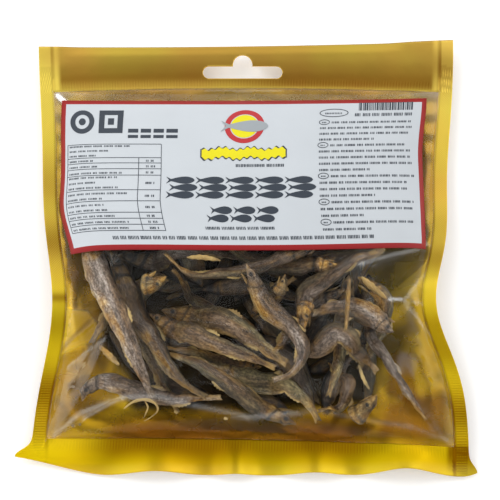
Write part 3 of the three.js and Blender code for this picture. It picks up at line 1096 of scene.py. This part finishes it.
FINE_BODY = round_template(FISH_ROWS, FISH_SIDES)
PLAIN_BODY = round_template(HIDDEN_ROWS, HIDDEN_SIDES)
BED_BODY = round_template(BED_ROWS, BED_SIDES)
EYE_FORM = round_template(10, 16)
SMALL_FORM = round_template(12, 10)


def add_fish(heap, body, spine, depth, thickness, roll, twist, tone, gape, rng, shade=0, kept=1):
    """One dried fish on its spine, which runs from its snout to the end of its tail in the drawing's
    millimetres. The fine body also gets eyes, a jaw and, on a whole fish, fins."""
    length = np.linalg.norm(np.diff(spine, axis=0), axis=1).sum() / kept
    parts = [(body[0], fish_body(body, length, depth, thickness, gape, rng, kept))]
    if body is FINE_BODY:
        parts += [(EYE_FORM[0], eye) for eye in eyes_of(EYE_FORM, length, depth, thickness)]
        parts.append((SMALL_FORM[0], jaw_of(SMALL_FORM, length, depth, gape)))
        if kept == 1:
            parts += [(SMALL_FORM[0], fin_of(SMALL_FORM, length, depth, *fin)) for fin in FINS]
    shift = rng.uniform(-GRAIN_SPREAD, GRAIN_SPREAD, 3)
    for mesh, (points, golden, thin, dark, browner) in parts:
        placed = bend(points, spine, roll, twist)
        traits = (golden, thin, np.clip(dark + shade, 0, 1), np.clip(tone + browner, 0, 1))
        add_round(heap, mesh, to_frame(*placed.T), points + shift, np.stack(traits, axis=1))


def map_axes():
    x = np.arange(-MAP_HALF_X, MAP_HALF_X + MAP_CELL, MAP_CELL)
    y = np.arange(-MAP_HALF_Y, MAP_HALF_Y + MAP_CELL, MAP_CELL)
    return np.meshgrid(x, y, indexing="ij")


MAP_X, MAP_Y = map_axes()
room_top = front_height(MAP_X, MAP_Y) - FILM_GAP
room_floor = back_height(MAP_X, MAP_Y) + FILM_GAP
outside = np.minimum(*window_place(MAP_X, MAP_Y)[2:]) < MAP_WELD_GAP
room_top[outside] = 0
room_floor[outside] = 60


def footprint(path, depth, thickness, roll, kept=1):
    """The map cells under a fish and its half height over each, for every step along and across it."""
    share = np.linspace(0, kept, len(path))
    deep = np.maximum(profile(share, BACK_PROFILE), profile(share, BELLY_PROFILE)) * depth * BODY_ROOM
    thick = profile(share, SIDE_PROFILE) * thickness * BODY_ROOM + 0.1
    half_width = np.abs(math.cos(roll)) * deep + np.abs(math.sin(roll)) * thick
    half_height = np.abs(math.sin(roll)) * deep + np.abs(math.cos(roll)) * thick
    forward = unit(np.gradient(path[:, :2], axis=0))
    sideways = half_width[:, None] * np.stack((-forward[:, 1], forward[:, 0]), axis=1)
    across = np.linspace(-1, 1, MAP_LANES)
    spots = path[:, None, :2] + across[None, :, None] * sideways[:, None, :]
    cells = np.rint(spots / MAP_CELL).astype(int) + (MAP_HALF_X, MAP_HALF_Y)
    cells = np.clip(cells, 0, np.array(MAP_X.shape) - 1)
    return cells[..., 0], cells[..., 1], half_height[:, None] * np.sqrt(1 - 0.96 * across ** 2)[None, :]


def level_path(wanted, above):
    """A smooth run of heights over the wanted ones, or under them: a dried fish bends only gently."""
    sign = 1 if above else -1
    reach = SPINE_STIFFNESS
    padded = np.pad(sign * wanted, reach, mode="edge")
    highest = np.lib.stride_tricks.sliding_window_view(padded, 2 * reach + 1).max(axis=1)
    return sign * running_mean(highest, np.hanning(2 * reach + 3)[1:-1])


def hang(path, depth, thickness, roll, kept=1):
    """Gives a fish the height at which it touches what is above it, and lowers the room under it."""
    columns, rows, half = footprint(path, depth, thickness, roll, kept)
    heights = level_path(np.min(room_top[columns, rows] - half, axis=1), above=False)
    np.minimum.at(room_top, (columns, rows), heights[:, None] - half - FISH_GAP)
    return np.column_stack((path, heights))


def height_on_heap(path, depth, thickness, roll):
    """The heights at which a fish would lie on the heap as it is, or nothing where it has no room."""
    columns, rows, half = footprint(path, depth, thickness, roll)
    heights = level_path(np.max(room_floor[columns, rows] + half, axis=1), above=True)
    if np.any(heights[:, None] + half > room_top[columns, rows]):
        return None
    return heights


def lay(path, heights, depth, thickness, roll):
    """Adds a fish to the heap."""
    columns, rows, half = footprint(path, depth, thickness, roll)
    np.maximum.at(room_floor, (columns, rows), heights[:, None] + half + FISH_GAP)
    return np.column_stack((path, heights))


HEAD_SHARE = 0.225
# Points from snout to break, then depth, thickness, roll in degrees, tone and how far the mouth gapes.
LOOSE_HEADS = (
    (((-29.5, -18), (-34, -19.5), (-39.5, -20)), 9.4, 6.0, -25, 0.9, 0.6),
    (((48.5, -60), (45, -63.5), (40, -68)), 9.5, 6.0, 10, 0.8, 0.0),
    (((21.5, -38), (21.3, -32), (22.5, -26)), 7.5, 6.0, 40, 0.5, 0.0),
    (((34, -13), (30, -13), (26, -13)), 6.0, 4.5, 0, 0.4, 0.2),
    (((14.5, -17.5), (13.5, -21), (12, -25)), 5.5, 4.0, 20, 0.7, 0.4),
)


def loose_heads(heap):
    rng = np.random.default_rng(4)
    for points, depth, thickness, roll, tone, gape in LOOSE_HEADS:
        path = smooth_path(points)[0]
        turn = math.radians(roll)
        spine = hang(path, depth, thickness, turn, HEAD_SHARE)
        add_fish(heap, FINE_BODY, spine, depth, thickness, turn, 0, tone, gape, rng, 0, HEAD_SHARE)


def finish_heap(name, heap, material):
    mesh = finished_mesh(heap, name)
    mesh.shade_smooth()
    piece = add_piece(name, mesh, material)
    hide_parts("pouch")


def streak_group():
    """Lengthwise streaks of dried skin, broad and fine, and patches, from the fish's own coordinates."""
    outputs = dict.fromkeys(("Broad", "Fine", "Patches"), "NodeSocketFloat")
    group, taken, output = new_group("skin_streaks", {"Grain": "NodeSocketVector"}, outputs)
    layers = (((0.10, 0.34, 0.34), 3.0), ((0.45, 1.3, 1.3), 3.0), ((0.15, 0.28, 0.28), 2.0))
    for number, (stretch, detail) in enumerate(layers):
        links = {0: taken["Grain"], 1: stretch}
        drawn = add_node(group, "ShaderNodeVectorMath", links, operation="MULTIPLY").outputs[0]
        group.links.new(noise(group, drawn, 1.0, detail, 0.6), output.inputs[number])
    return group


SKIN_STREAKS = streak_group()
# Dried skin from its darkest furrow to its brightest streak: places on the ramp, and their colours.
LILAC_SKIN = ((0.52, (0.018, 0.014, 0.012)), (0.67, (0.120, 0.089, 0.070)), (0.79, (0.315, 0.252, 0.213)),
              (0.92, (0.66, 0.58, 0.52)))
BROWN_SKIN = ((0.52, (0.012, 0.007, 0.004)), (0.68, (0.082, 0.044, 0.019)), (0.81, (0.22, 0.124, 0.051)),
              (0.94, (0.47, 0.29, 0.135)))
BUFF_SKIN = ((0.52, (0.020, 0.016, 0.008)), (0.68, (0.115, 0.090, 0.040)), (0.82, (0.27, 0.21, 0.095)),
             (0.95, (0.52, 0.43, 0.22)))
GOLDEN_SKIN = ((0.50, (0.060, 0.022, 0.003)), (0.66, (0.29, 0.130, 0.018)), (0.80, (0.54, 0.31, 0.065)),
               (0.95, (0.82, 0.62, 0.28)))
CREAMY_FIN = (0.56, 0.40, 0.16, 1)
DARK_EYE = (0.012, 0.010, 0.010, 1)


def dried_skin(name):
    """Dried fish skin: streaked, with flakes of silver on it, golden where it is thin and fat."""
    material, tree, shader = new_material(name)
    grain = stored(tree, "grain", "Vector")
    traits = add_node(tree, "ShaderNodeAttribute", attribute_name="traits")
    golden, thin, dark = add_node(tree, "ShaderNodeSeparateColor", {0: traits.outputs["Color"]}).outputs
    tone = traits.outputs["Alpha"]
    streaks = add_node(tree, "ShaderNodeGroup", {0: grain}, node_tree=SKIN_STREAKS)
    broad, fine, patches = streaks.outputs
    streaked = reckon(tree, "MULTIPLY_ADD", fine, 0.47, reckon(tree, "MULTIPLY", broad, 0.50))
    mixed = reckon(tree, "MULTIPLY_ADD", noise(tree, grain, 1.3, 4.0, 0.70), 0.48, streaked)
    lilac_to_brown = between(tree, tone, 0.1, 0.5)
    skin = blend(tree, lilac_to_brown, ramp(tree, mixed, LILAC_SKIN), ramp(tree, mixed, BROWN_SKIN))
    skin = blend(tree, between(tree, tone, 0.5, 1.0), skin, ramp(tree, mixed, BUFF_SKIN))
    patchy = between(tree, patches, 0.40, 0.60, 0.25, 1.15)
    gilt = reckon(tree, "MULTIPLY", golden, patchy, clamp=True)
    skin = blend(tree, gilt, skin, ramp(tree, mixed, GOLDEN_SKIN))
    skin = blend(tree, reckon(tree, "MULTIPLY", thin, patchy, clamp=True), skin, CREAMY_FIN)
    tree.links.new(blend(tree, dark, skin, DARK_EYE), shader.inputs["Base Color"])
    tree.links.new(between(tree, gilt, 0.3, 1.0, 0.0, 0.40), shader.inputs["Metallic"])
    tree.links.new(between(tree, fine, 0.35, 0.65, 0.62, 0.36), shader.inputs["Roughness"])
    scales = add_node(tree, "ShaderNodeTexVoronoi", {"Vector": grain, "Scale": 1.3}).outputs["Distance"]
    emboss(tree, shader, reckon(tree, "MULTIPLY_ADD", scales, 0.15, mixed), 0.0003, 0.7)
    shader.inputs["Specular IOR Level"].default_value = 0.45
    return material


head_heap = bmesh.new()
loose_heads(head_heap)
finish_heap("loose_heads", head_heap, dried_skin("head_skin"))


# Scraps: loose strips of golden skin and fin that flaked off the fish, one of them curled into a ring.
# Points along each, then width, thickness, roll in degrees, how golden and how thin.
SCRAPS = (
    (((-22, -11), (-16, -11), (-9, -12.5)), 2.0, 0.8, 15, 0.6, 0.5),
    (((41.5, -50), (43.5, -55), (46.8, -60)), 1.4, 0.5, 20, 0.1, 1.0),
    (((-54.5, -42), (-51, -45.5), (-46.5, -50)), 2.4, 0.6, 0, 1.0, 0.1),
    (((-45.5, -64.8), (-42, -62.4), (-37.5, -61.6), (-33.5, -63), (-33, -65.6), (-36.4, -68), (-40, -69.4)),
     1.5, 0.5, 40, 0.6, 0.8),
    (((-37.5, -61.8), (-36.4, -64.5), (-38.5, -67.6), (-41, -68.5)), 1.2, 0.5, 50, 0.7, 0.8),
    (((-26.5, -65.8), (-24.6, -66.4)), 1.0, 0.5, 10, 0.4, 1.0),
    (((-8, -68.0), (-6, -68.4)), 1.2, 0.5, 0, 0.4, 1.0),
    (((-65.6, -69.6), (-64, -69.9)), 1.2, 0.7, 0, 0.2, 0.0),
    (((-62.6, -69.3), (-61.6, -69.6)), 1.1, 0.7, 0, 0.2, 0.0),
    (((38.6, -18), (38, -24), (37.4, -31), (36.6, -39)), 3.0, 1.6, 60, 0.85, 0.2),
    (((43, -17), (47, -20.5), (53, -25)), 2.8, 1.0, 20, 0.8, 0.6),
)


def skin_scrap(template, length, width, thickness, rng):
    """A loose strip of dried skin: thin, rounded at both ends and a little ragged along its edges."""
    along, up, out = template[1:]
    half = width / 2 * np.sin(np.clip(along, 0.001, 0.999) * math.pi) ** 0.5
    ragged = 1 + 0.14 * np.abs(up) * np.sin(along * 31 + rng.uniform(0, 6))
    z = out * thickness / 2 * np.sin(along * math.pi) ** 0.3
    return np.stack((length * along, up * half * ragged, z), axis=1)


def loose_scraps(heap):
    rng = np.random.default_rng(6)
    for points, width, thickness, roll, golden, thin in SCRAPS:
        path, length = smooth_path(points)
        turn = math.radians(roll)
        spine = hang(path, width, thickness, turn)
        flat = skin_scrap(SCRAP_FORM, length, width, thickness, rng)
        placed = to_frame(*bend(flat, spine, turn, 0.6).T)
        traits = np.tile((golden, thin, 0, 0.8), (len(flat), 1))
        add_round(heap, SCRAP_FORM[0], placed, flat + rng.uniform(-GRAIN_SPREAD, GRAIN_SPREAD, 3), traits)


SCRAP_FORM = round_template(40, 12)
scrap_heap = bmesh.new()
loose_scraps(scrap_heap)
finish_heap("scraps", scrap_heap, dried_skin("scrap_skin"))


# Silver anchovies: whole dried fish three to eight centimetres long, grey-lilac with silver skin left on
# the flanks. Drying shrivelled them into ridges, bent them, and left heads, bellies and tails golden.

# The fish that show, uppermost first: points from snout to tail, then depth, thickness, roll in degrees,
# tone from grey-lilac 0 through brown to buff 1, how dark, and how far the mouth gapes.
SILVER_FISH = (
    (((55, -37), (46, -31), (38, -28), (24, -30)), 9.5, 5.0, 15, 0.25, 0.15, 0.8),
    (((-62, 8), (-58.5, -5), (-53, -20), (-46.5, -34), (-42, -44), (-38, -54), (-33, -63)),
     9.8, 5.0, 10, 0.04, 0.0, 0.0),
    (((-52, -3), (-45, -17), (-41, -30), (-36, -37), (-29, -49), (-23, -56), (-13, -62)),
     8.4, 4.8, -12, 0.36, 0.54, 0.2),
    (((0, -13), (8, -28), (17, -36), (21, -45), (17, -53), (9, -56)), 7.6, 4.6, 20, 0.20, 0.12, 0.6),
    (((45, -27), (47, -37), (52, -46), (60, -58), (68, -69)), 5.0, 3.4, 60, 0.02, 0.20, 0.0),
    (((19, -70), (6, -64), (-8, -55), (-19, -49), (-33, -43)), 7.4, 4.6, 10, 0.55, 0.30, 0.9),
    (((28, -5), (11, -11), (-8, -16), (-21, -17), (-31, -8)), 6.4, 4.2, 30, 0.35, 0.20, 0.0),
    (((34, -9), (20, -12), (4, -9), (-14, -3)), 7.0, 4.2, 5, 0.55, 0.35, 0.3),
    (((-37, -28), (-18, -40), (-2, -46), (12, -52)), 8.0, 4.4, 12, 0.45, 0.20, 0.2),
    (((-61, -61.5), (-59.5, -57), (-53, -54), (-42, -57), (-26, -61), (-8, -61)),
     7.0, 4.2, 20, 0.12, 0.20, 0.0),
    (((22, -36), (22, -23), (26, -19), (36, -12), (50, -6)), 7.2, 5.4, 5, 0.30, 0.20, 0.2),
    (((37, -20), (28, -24), (18, -34), (10, -47)), 7.0, 4.4, -10, 0.15, 0.40, 0.3),
    (((14, -8), (30, -8), (46, -6), (60, 3)), 8.6, 4.8, 8, 0.30, 0.30, 0.0),
)


def shown_fish(table, heap, seed):
    rng = np.random.default_rng(seed)
    for points, depth, thickness, roll, tone, shade, gape in table:
        path = smooth_path(points)[0]
        turn = math.radians(roll)
        spine = hang(path, depth, thickness, turn)
        twist = rng.uniform(-0.25, 0.25)
        add_fish(heap, FINE_BODY, spine, depth, thickness, turn, twist, tone, gape, rng, shade)


silver_heap = bmesh.new()
shown_fish(SILVER_FISH, silver_heap, seed=3)
finish_heap("silver_anchovies", silver_heap, dried_skin("silver_skin"))


# Brown anchovies: fish of the same kind that dried browner and broader, some with the buff fat of the back
# showing. They cross the silver ones, and one curls round on itself.
BROWN_FISH = (
    (((-32, -26), (-15, -31), (-2, -37), (16, -50)), 10.8, 5.2, 8, 0.56, 0.22, 0.3),
    (((18, -38), (26, -43), (33, -38), (42, -43), (49, -53)), 8.6, 5.2, 15, 0.35, 0.27, 0.4),
    (((39, -14), (38, -24), (36, -37), (34, -50), (30, -62)), 7.2, 4.8, 25, 0.66, 0.12, 0.2),
    (((-16, -49), (2, -53), (14, -56), (24, -64), (27.5, -70)), 8.6, 4.6, 20, 0.86, 0.06, 0.0),
    (((31, -46), (35, -50), (38, -56), (35, -63), (26, -65)), 5.4, 3.8, 15, 0.36, 0.05, 0.0),
    (((6, -47), (-6, -46), (-15, -45), (-31, -42)), 6.8, 4.2, 12, 0.60, 0.15, 0.2),
    (((6, -39), (-2, -33), (-20, -21), (-28, -14)), 6.6, 4.0, 30, 0.50, 0.25, 0.0),
    (((-29, -17), (-38, -16), (-50, -26), (-58, -42)), 8.2, 4.8, 6, 0.70, 0.25, 0.1),
    (((2, -30), (6, -26), (11, -22), (19, -15)), 6.6, 4.0, 8, 0.48, 0.30, 0.0),
    (((-44, -24), (-38, -40), (-32, -52), (-25, -66)), 6.4, 4.2, 18, 0.66, 0.35, 0.0),
    (((-50, -4), (-32, -6), (-12, -6), (6, -7)), 8.8, 4.8, 8, 0.22, 0.60, 0.0),
    (((42, -16), (52, -24), (50, -36), (42, -50)), 7.0, 4.4, 0, 0.66, 0.20, 0.4),
)
brown_heap = bmesh.new()
shown_fish(BROWN_FISH, brown_heap, seed=8)
finish_heap("brown_anchovies", brown_heap, dried_skin("brown_skin"))


# Heap under them: more of the same fish in every direction, from the back film up to the ones that show.
# The lowest are plainer, because little of them can be seen, and all are painted darker as painted shade.
# All are laid by the same seeded rule.
BED_LIMIT = 90
BED_LENGTHS = (26, 60)
HEAP_LIMIT = 92
HEAP_LENGTHS = (30, 64)
HEAP_DEPTHS = (6.8, 9.6)
HEAP_THICKNESSES = (3.8, 4.8)
HEAP_ROLL = 30
# How much darker the heap's fish are painted: painted shade deep in the heap, which shows in the gaps
# between the fish on top.
HEAP_PAINTED_SHADE = 0.66
HEAP_MISSES = 30
HEAP_TRIES = 36
HEAP_LEFT = -62
HEAP_RIGHT = 57
HEAP_LOW_Y = -66
HEAP_HIGH_Y = 60


def random_path(rng, lengths):
    """A gently curled path somewhere in the heap."""
    span = rng.uniform(*lengths)
    turns = rng.uniform(0, 2 * math.pi) + rng.normal(0, 0.9) * np.linspace(-0.5, 0.5, PATH_STEPS)
    run = np.cumsum(np.stack((np.cos(turns), np.sin(turns)), axis=1), axis=0) * span / PATH_STEPS
    middle = rng.uniform(HEAP_LEFT, HEAP_RIGHT), rng.uniform(HEAP_LOW_Y, HEAP_HIGH_Y)
    return run - run.mean(axis=0) + middle


def in_heap(path):
    """True where a whole path lies in the heap. Its lower left corner is bare."""
    x, y = path.T
    left = HEAP_LEFT + 14 * smooth((-26 - y) / 14)
    right = HEAP_RIGHT - 9 * smooth((4 - y) / 8)
    low = HEAP_LOW_Y + 8 * smooth((20 - x) / 40)
    return np.all((x > left) & (x < right) & (y > low) & (y < HEAP_HIGH_Y))


def fill_heap(heap, body, limit, lengths, rng):
    """Lays fish as low as they go, the lowest of a few tries each time, until the limit or none fits."""
    laid = missed = 0
    while laid < limit and missed < HEAP_MISSES:
        best = None
        for _ in range(HEAP_TRIES):
            path = random_path(rng, lengths)
            depth, thickness = rng.uniform(*HEAP_DEPTHS), rng.uniform(*HEAP_THICKNESSES)
            size = depth, thickness, math.radians(rng.uniform(-HEAP_ROLL, HEAP_ROLL))
            heights = height_on_heap(path, *size) if in_heap(path) else None
            if heights is not None and (best is None or heights.mean() < best[1].mean()):
                best = path, heights, size
        if best is None:
            missed += 1
            continue
        path, heights, (depth, thickness, turn) = best
        spine = lay(path, heights, depth, thickness, turn)
        twist, tone = rng.uniform(-0.2, 0.2), rng.uniform(0.1, 0.8)
        add_fish(heap, body, spine, depth, thickness, turn, twist, tone, 0, rng, HEAP_PAINTED_SHADE)
        laid += 1


under_heap = bmesh.new()
heap_rng = np.random.default_rng(21)
fill_heap(under_heap, BED_BODY, BED_LIMIT, BED_LENGTHS, heap_rng)
fill_heap(under_heap, PLAIN_BODY, HEAP_LIMIT, HEAP_LENGTHS, heap_rng)
finish_heap("heaped_anchovies", under_heap, dried_skin("heap_skin"))


# Label: a white paper sticker on the clear front, bent with it, with a red border printed round its edge.
LABEL_LIFT = 0.35
LABEL_THICKNESS = 0.3
LABEL_WIDTH = 143.0
LABEL_HEIGHT = 62.0
LABEL_LEFT_X = -73.6
LABEL_RIGHT_X = 69.0
LABEL_TOP_Y = 56.7
BORDER = 1.9
LABEL_COLUMNS = 110
LABEL_ROWS = 48


def label_place(u, v):
    """Where the sticker's points lie on the drawing. Its sides are bent in, and its ends curve up."""
    left = LABEL_LEFT_X + 7.4 * smooth((0.34 - v) / 0.42) + 1.2 * bump(v, 0.45, 0.3)
    right = LABEL_RIGHT_X + 3.2 * smooth((v - 0.55) / 0.5)
    x = left + (right - left) * u
    from_middle = np.abs(2 * u - 1)
    top = LABEL_TOP_Y + 4.8 * from_middle ** 2.2 + 0.9 * u
    bottom = LABEL_LOW_Y + np.where(u < 0.5, 4.4, 6.6) * from_middle ** 2.4 - 0.7 * bump(u, 0, 0.05)
    sag = 4 * v * (1 - v) * from_middle ** 2.2 * np.where(u < 0.5, 2.0, 1.8 * v)
    return x, bottom + (top - bottom) * v + sag


def label_points(u, v, lift):
    x, y = label_place(u, v)
    return to_frame(x, y, front_height(x, y) + lift)


def border_steps(t, cells, share):
    """Grid lines that give the first and the last cell the border's share of the label."""
    return through_weld(t, 1 / cells, 0, share, 1 - share, 1)


def sticker_points(u, v):
    u = border_steps(u, LABEL_COLUMNS, BORDER / LABEL_WIDTH)
    v = border_steps(v, LABEL_ROWS, BORDER / LABEL_HEIGHT)
    return label_points(u, v, LABEL_LIFT)


def sticker(name, colour):
    material, tree, shader = new_material(name)
    place = place_in(tree)
    darker = tuple(0.88 * part for part in colour)
    mottled = blend(tree, noise(tree, place, 45.0, 3.0), (*darker, 1), (*colour, 1))
    tree.links.new(mottled, shader.inputs["Base Color"])
    emboss(tree, shader, noise(tree, place, 900.0, 2.0), 0.00002, 0.6)
    shader.inputs["Roughness"].default_value = 0.45
    shader.inputs["Specular IOR Level"].default_value = 0.2
    return material


white_paper = sticker("white_paper", (0.555, 0.590, 0.622))
border_red = sticker("border_red", (0.32, 0.015, 0.017))
label_mesh = mesh_from_grid("label", LABEL_COLUMNS, LABEL_ROWS, sticker_points)
label = add_piece("label", label_mesh, white_paper, border_red)
thicken(label, LABEL_THICKNESS)
for number, face in enumerate(label_mesh.polygons):
    column, row = number % LABEL_COLUMNS, number // LABEL_COLUMNS
    if column in (0, LABEL_COLUMNS - 1) or row in (0, LABEL_ROWS - 1):
        face.material_index = 1
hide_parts("label")


# Print on the label: flat ink, as fields of colour and simple shapes, in millimetres from the label's lower
# left corner. Bold signs and blocks, a ruled table, rows of plain ticks, a shoal of little fish and a
# roundel stand where a real label has its print.
PRINT_LIFT = 0.57
INK_THICKNESS = 0.07
INK_LAYER = 0.09
RULE_WIDTH = 0.22
TICK_PITCH = 0.62
SLATE, RED, YELLOW, GREY = range(4)
INKS = (
    ("slate_ink", (0.040, 0.050, 0.066)),
    ("red_ink", (0.47, 0.035, 0.040)),
    ("yellow_ink", (0.76, 0.68, 0.012)),
    ("grey_ink", (0.33, 0.36, 0.38)),
)


def ink_patch(sheet, points, centre, ink=SLATE, layer=0):
    """Moves new flat corners to their place on the label and inks their faces. Later layers lie on top."""
    bmesh.ops.translate(sheet, verts=points, vec=(*centre, layer * INK_LAYER))
    for face in {face for point in points for face in point.link_faces}:
        face.material_index = ink


def ink_block(sheet, left, low, width, height):
    """A filled rectangle, in cells of two millimetres or less so that it bends with the label."""
    columns, rows = max(1, math.ceil(width / 2)), max(1, math.ceil(height / 2))
    block = bmesh.ops.create_grid(sheet, x_segments=columns, y_segments=rows, size=0.5)["verts"]
    bmesh.ops.scale(sheet, verts=block, vec=(width, height, 1))
    ink_patch(sheet, block, (left + width / 2, low + height / 2))


def ink_ring(sheet, centre, outer, inner, ink=SLATE, sides=48):
    """An oval ring between outer and inner half widths and half heights. Inner (0, 0) fills it."""
    ring = bmesh.ops.create_grid(sheet, x_segments=sides, y_segments=2, size=0.5)["verts"]
    for point in ring:
        turn, share = 2 * math.pi * point.co.x, point.co.y + 0.5
        reach = [small + (large - small) * share for small, large in zip(inner, outer)]
        point.co = (math.cos(turn) * reach[0], math.sin(turn) * reach[1], 0)
    ink_patch(sheet, ring, centre, ink)


def ink_fish(sheet, centre, length, height, ink=SLATE, layer=0):
    """A slim little fish seen from its side, with its head to the right and a notched tail."""
    body = bmesh.ops.create_grid(sheet, x_segments=24, y_segments=4, size=0.5)["verts"]
    for point in body:
        along, up = point.co.x + 0.5, 2 * point.co.y
        tail = 0.46 * max(0, 1 - along / 0.17) ** 0.7
        belly = 0.5 * math.sin(math.pi * min(1, max(0, (along - 0.12) / 0.88)) ** 1.5) ** 0.6
        notch = 0.10 * (1 - abs(up)) * max(0, 1 - along / 0.17)
        point.co = (length * (along - 0.5 + notch), up * height * (0.07 + tail + belly), 0)
    ink_patch(sheet, body, centre, ink, layer)


def ink_ticks(sheet, left, low, width, height, rng, word=7):
    """A line of small print: a row of plain upright ticks with a gap here and there."""
    across, run = left, 0
    while across < left + width:
        run += 1
        if run > word * rng.uniform(0.5, 1.5):
            across, run = across + TICK_PITCH, 0
            continue
        ink_block(sheet, across, low, TICK_PITCH * rng.uniform(0.40, 0.70), height * 0.74)
        across += TICK_PITCH


def ink_weight(sheet):
    """Two bold signs side by side, a ring round a dot and a frame round a block, and four small blocks."""
    ink_ring(sheet, (8.8, 51.7), (4.9, 5.4), (2.9, 3.3))
    ink_ring(sheet, (8.8, 51.7), (1.4, 1.6), (0, 0))
    for low in (46.4, 54.8):
        ink_block(sheet, 15.6, low, 9.6, 2.2)
    for left in (15.6, 23.0):
        ink_block(sheet, left, 48.6, 2.2, 6.2)
    ink_block(sheet, 19.2, 50.2, 2.4, 3.0)
    for left, width in ((27.4, 4.0), (32.4, 4.0), (37.4, 4.0), (42.4, 4.4)):
        ink_block(sheet, left, 44.2, width, 1.3)
        ink_block(sheet, left, 46.6, width, 1.7)


def ink_table(sheet, rng):
    left, low, width, height, column = 2.8, 7.0, 37.8, 34.4, 29.0
    rows = (0, 2.3, 4.6, 6.9, 11.3, 15.6, 21.4, 24.0, 26.4, 28.6, height)
    for row in rows:
        ink_block(sheet, left, low + row, width, RULE_WIDTH)
    for across, top in ((0, height), (column, rows[-2]), (width, height)):
        ink_block(sheet, left + across, low, RULE_WIDTH, top)
    for base, top in zip(rows, rows[1:]):
        lines = max(1, round((top - base) / 2.2))
        for line in range(lines):
            span = rng.uniform(0.35, 0.95) * (column - 2)
            ink_ticks(sheet, left + 0.9, low + base + 0.7 + line * 2.0, span, 0.9, rng)
        if top < height:
            ink_ticks(sheet, left + column + 3, low + (base + top) / 2 - 0.5, 3.6, 1.1, rng, word=3)


def ink_emblem(sheet):
    """A roundel: a yellow disc in a red ring, a grey fish across it, and a wavy yellow band under it."""
    centre = (72.3, 49.6)
    ink_ring(sheet, centre, (7.6, 7.6), (5.6, 5.6), RED)
    ink_ring(sheet, centre, (5.2, 5.2), (0, 0), YELLOW)
    ink_fish(sheet, centre, 18.0, 4.6, GREY, layer=1)
    for ink, height, layer in ((SLATE, 5.6, 0), (YELLOW, 4.6, 1)):
        band = bmesh.ops.create_grid(sheet, x_segments=180, y_segments=3, size=0.5)["verts"]
        length = 27.6 + height
        for point in band:
            across, up, _ = point.co
            wave = 0.5 * math.sin(across * 6 * math.pi)
            narrowed = 1 - 0.35 * math.cos(across * 12 * math.pi) ** 2
            point.co = (across * length, up * height * narrowed + wave, 0)
        ink_patch(sheet, band, (72.4, 37.6), ink, layer)


def ink_title(sheet):
    """A shoal of bold little fish in three rows, and a smaller shoal under it."""
    for row, start in enumerate((42.8, 44.0, 42.8)):
        for number in range(5):
            ink_fish(sheet, (start + number * 11.3 + 5.4, 20.8 + row * 2.9), 10.8, 2.5)
    for row, start in enumerate((57.6, 59.4)):
        for number in range(3):
            ink_fish(sheet, (start + number * 8.8 + 4.2, 11.8 + row * 3.1), 8.2, 2.6)


def ink_small_print(sheet, rng):
    ink_ticks(sheet, 69.4, 32.0, 18.4, 1.5, rng, word=30)
    ink_ticks(sheet, 56.4, 7.6, 27.0, 1.4, rng, word=9)
    ink_ticks(sheet, 19.0, 3.8, 102.0, 1.7, rng)
    left, pitch, lines = 101.4, 2.56, 18
    for line in range(lines):
        opens = line in (0, 4, 9, 13, 16)
        low = 50.4 - line * pitch
        inset = 4.4 if opens else 0
        span = rng.uniform(16, 24) if line in (3, 8, 12, 15, 17) else rng.uniform(34, 37.5)
        ink_ticks(sheet, left + inset, low, span - inset, 1.15, rng)
        if opens:
            ink_ring(sheet, (left + 1.5, low + 0.6), (2.1, 1.25), (1.85, 1.0), sides=24)
            ink_ticks(sheet, left + 0.6, low + 0.2, 1.6, 0.7, rng, word=9)
    ink_ring(sheet, (106.4, 55.4), (5.6, 2.0), (5.3, 1.7))
    ink_ticks(sheet, 103.0, 54.8, 6.8, 1.0, rng, word=30)


def ink_bars(sheet, rng):
    """A strip of upright bars of uneven width in the upper right corner, over a line of larger ticks."""
    across = 116.0
    while across < 137.2:
        width = rng.choice((0.25, 0.4, 0.65))
        ink_block(sheet, across, 56.4, width, 4.0)
        across += width + rng.choice((0.25, 0.35, 0.5))
    ink_ticks(sheet, 114.6, 53.6, 22.4, 1.9, rng, word=8)


def printed_sheet():
    rng = np.random.default_rng(5)
    sheet = bmesh.new()
    ink_weight(sheet)
    ink_table(sheet, rng)
    ink_emblem(sheet)
    ink_title(sheet)
    ink_small_print(sheet, rng)
    ink_bars(sheet, rng)
    bmesh.ops.remove_doubles(sheet, verts=sheet.verts, dist=0.001)
    mesh = finished_mesh(sheet, "label_print")
    across, up, layer = corners_of(mesh).astype(float).T
    place_corners(mesh, label_points(across / LABEL_WIDTH, up / LABEL_HEIGHT, PRINT_LIFT + layer))
    return mesh


inks = [sticker(name, colour) for name, colour in INKS]
label_print = add_piece("label_print", printed_sheet(), *inks)
thicken(label_print, INK_THICKNESS)
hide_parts("label")
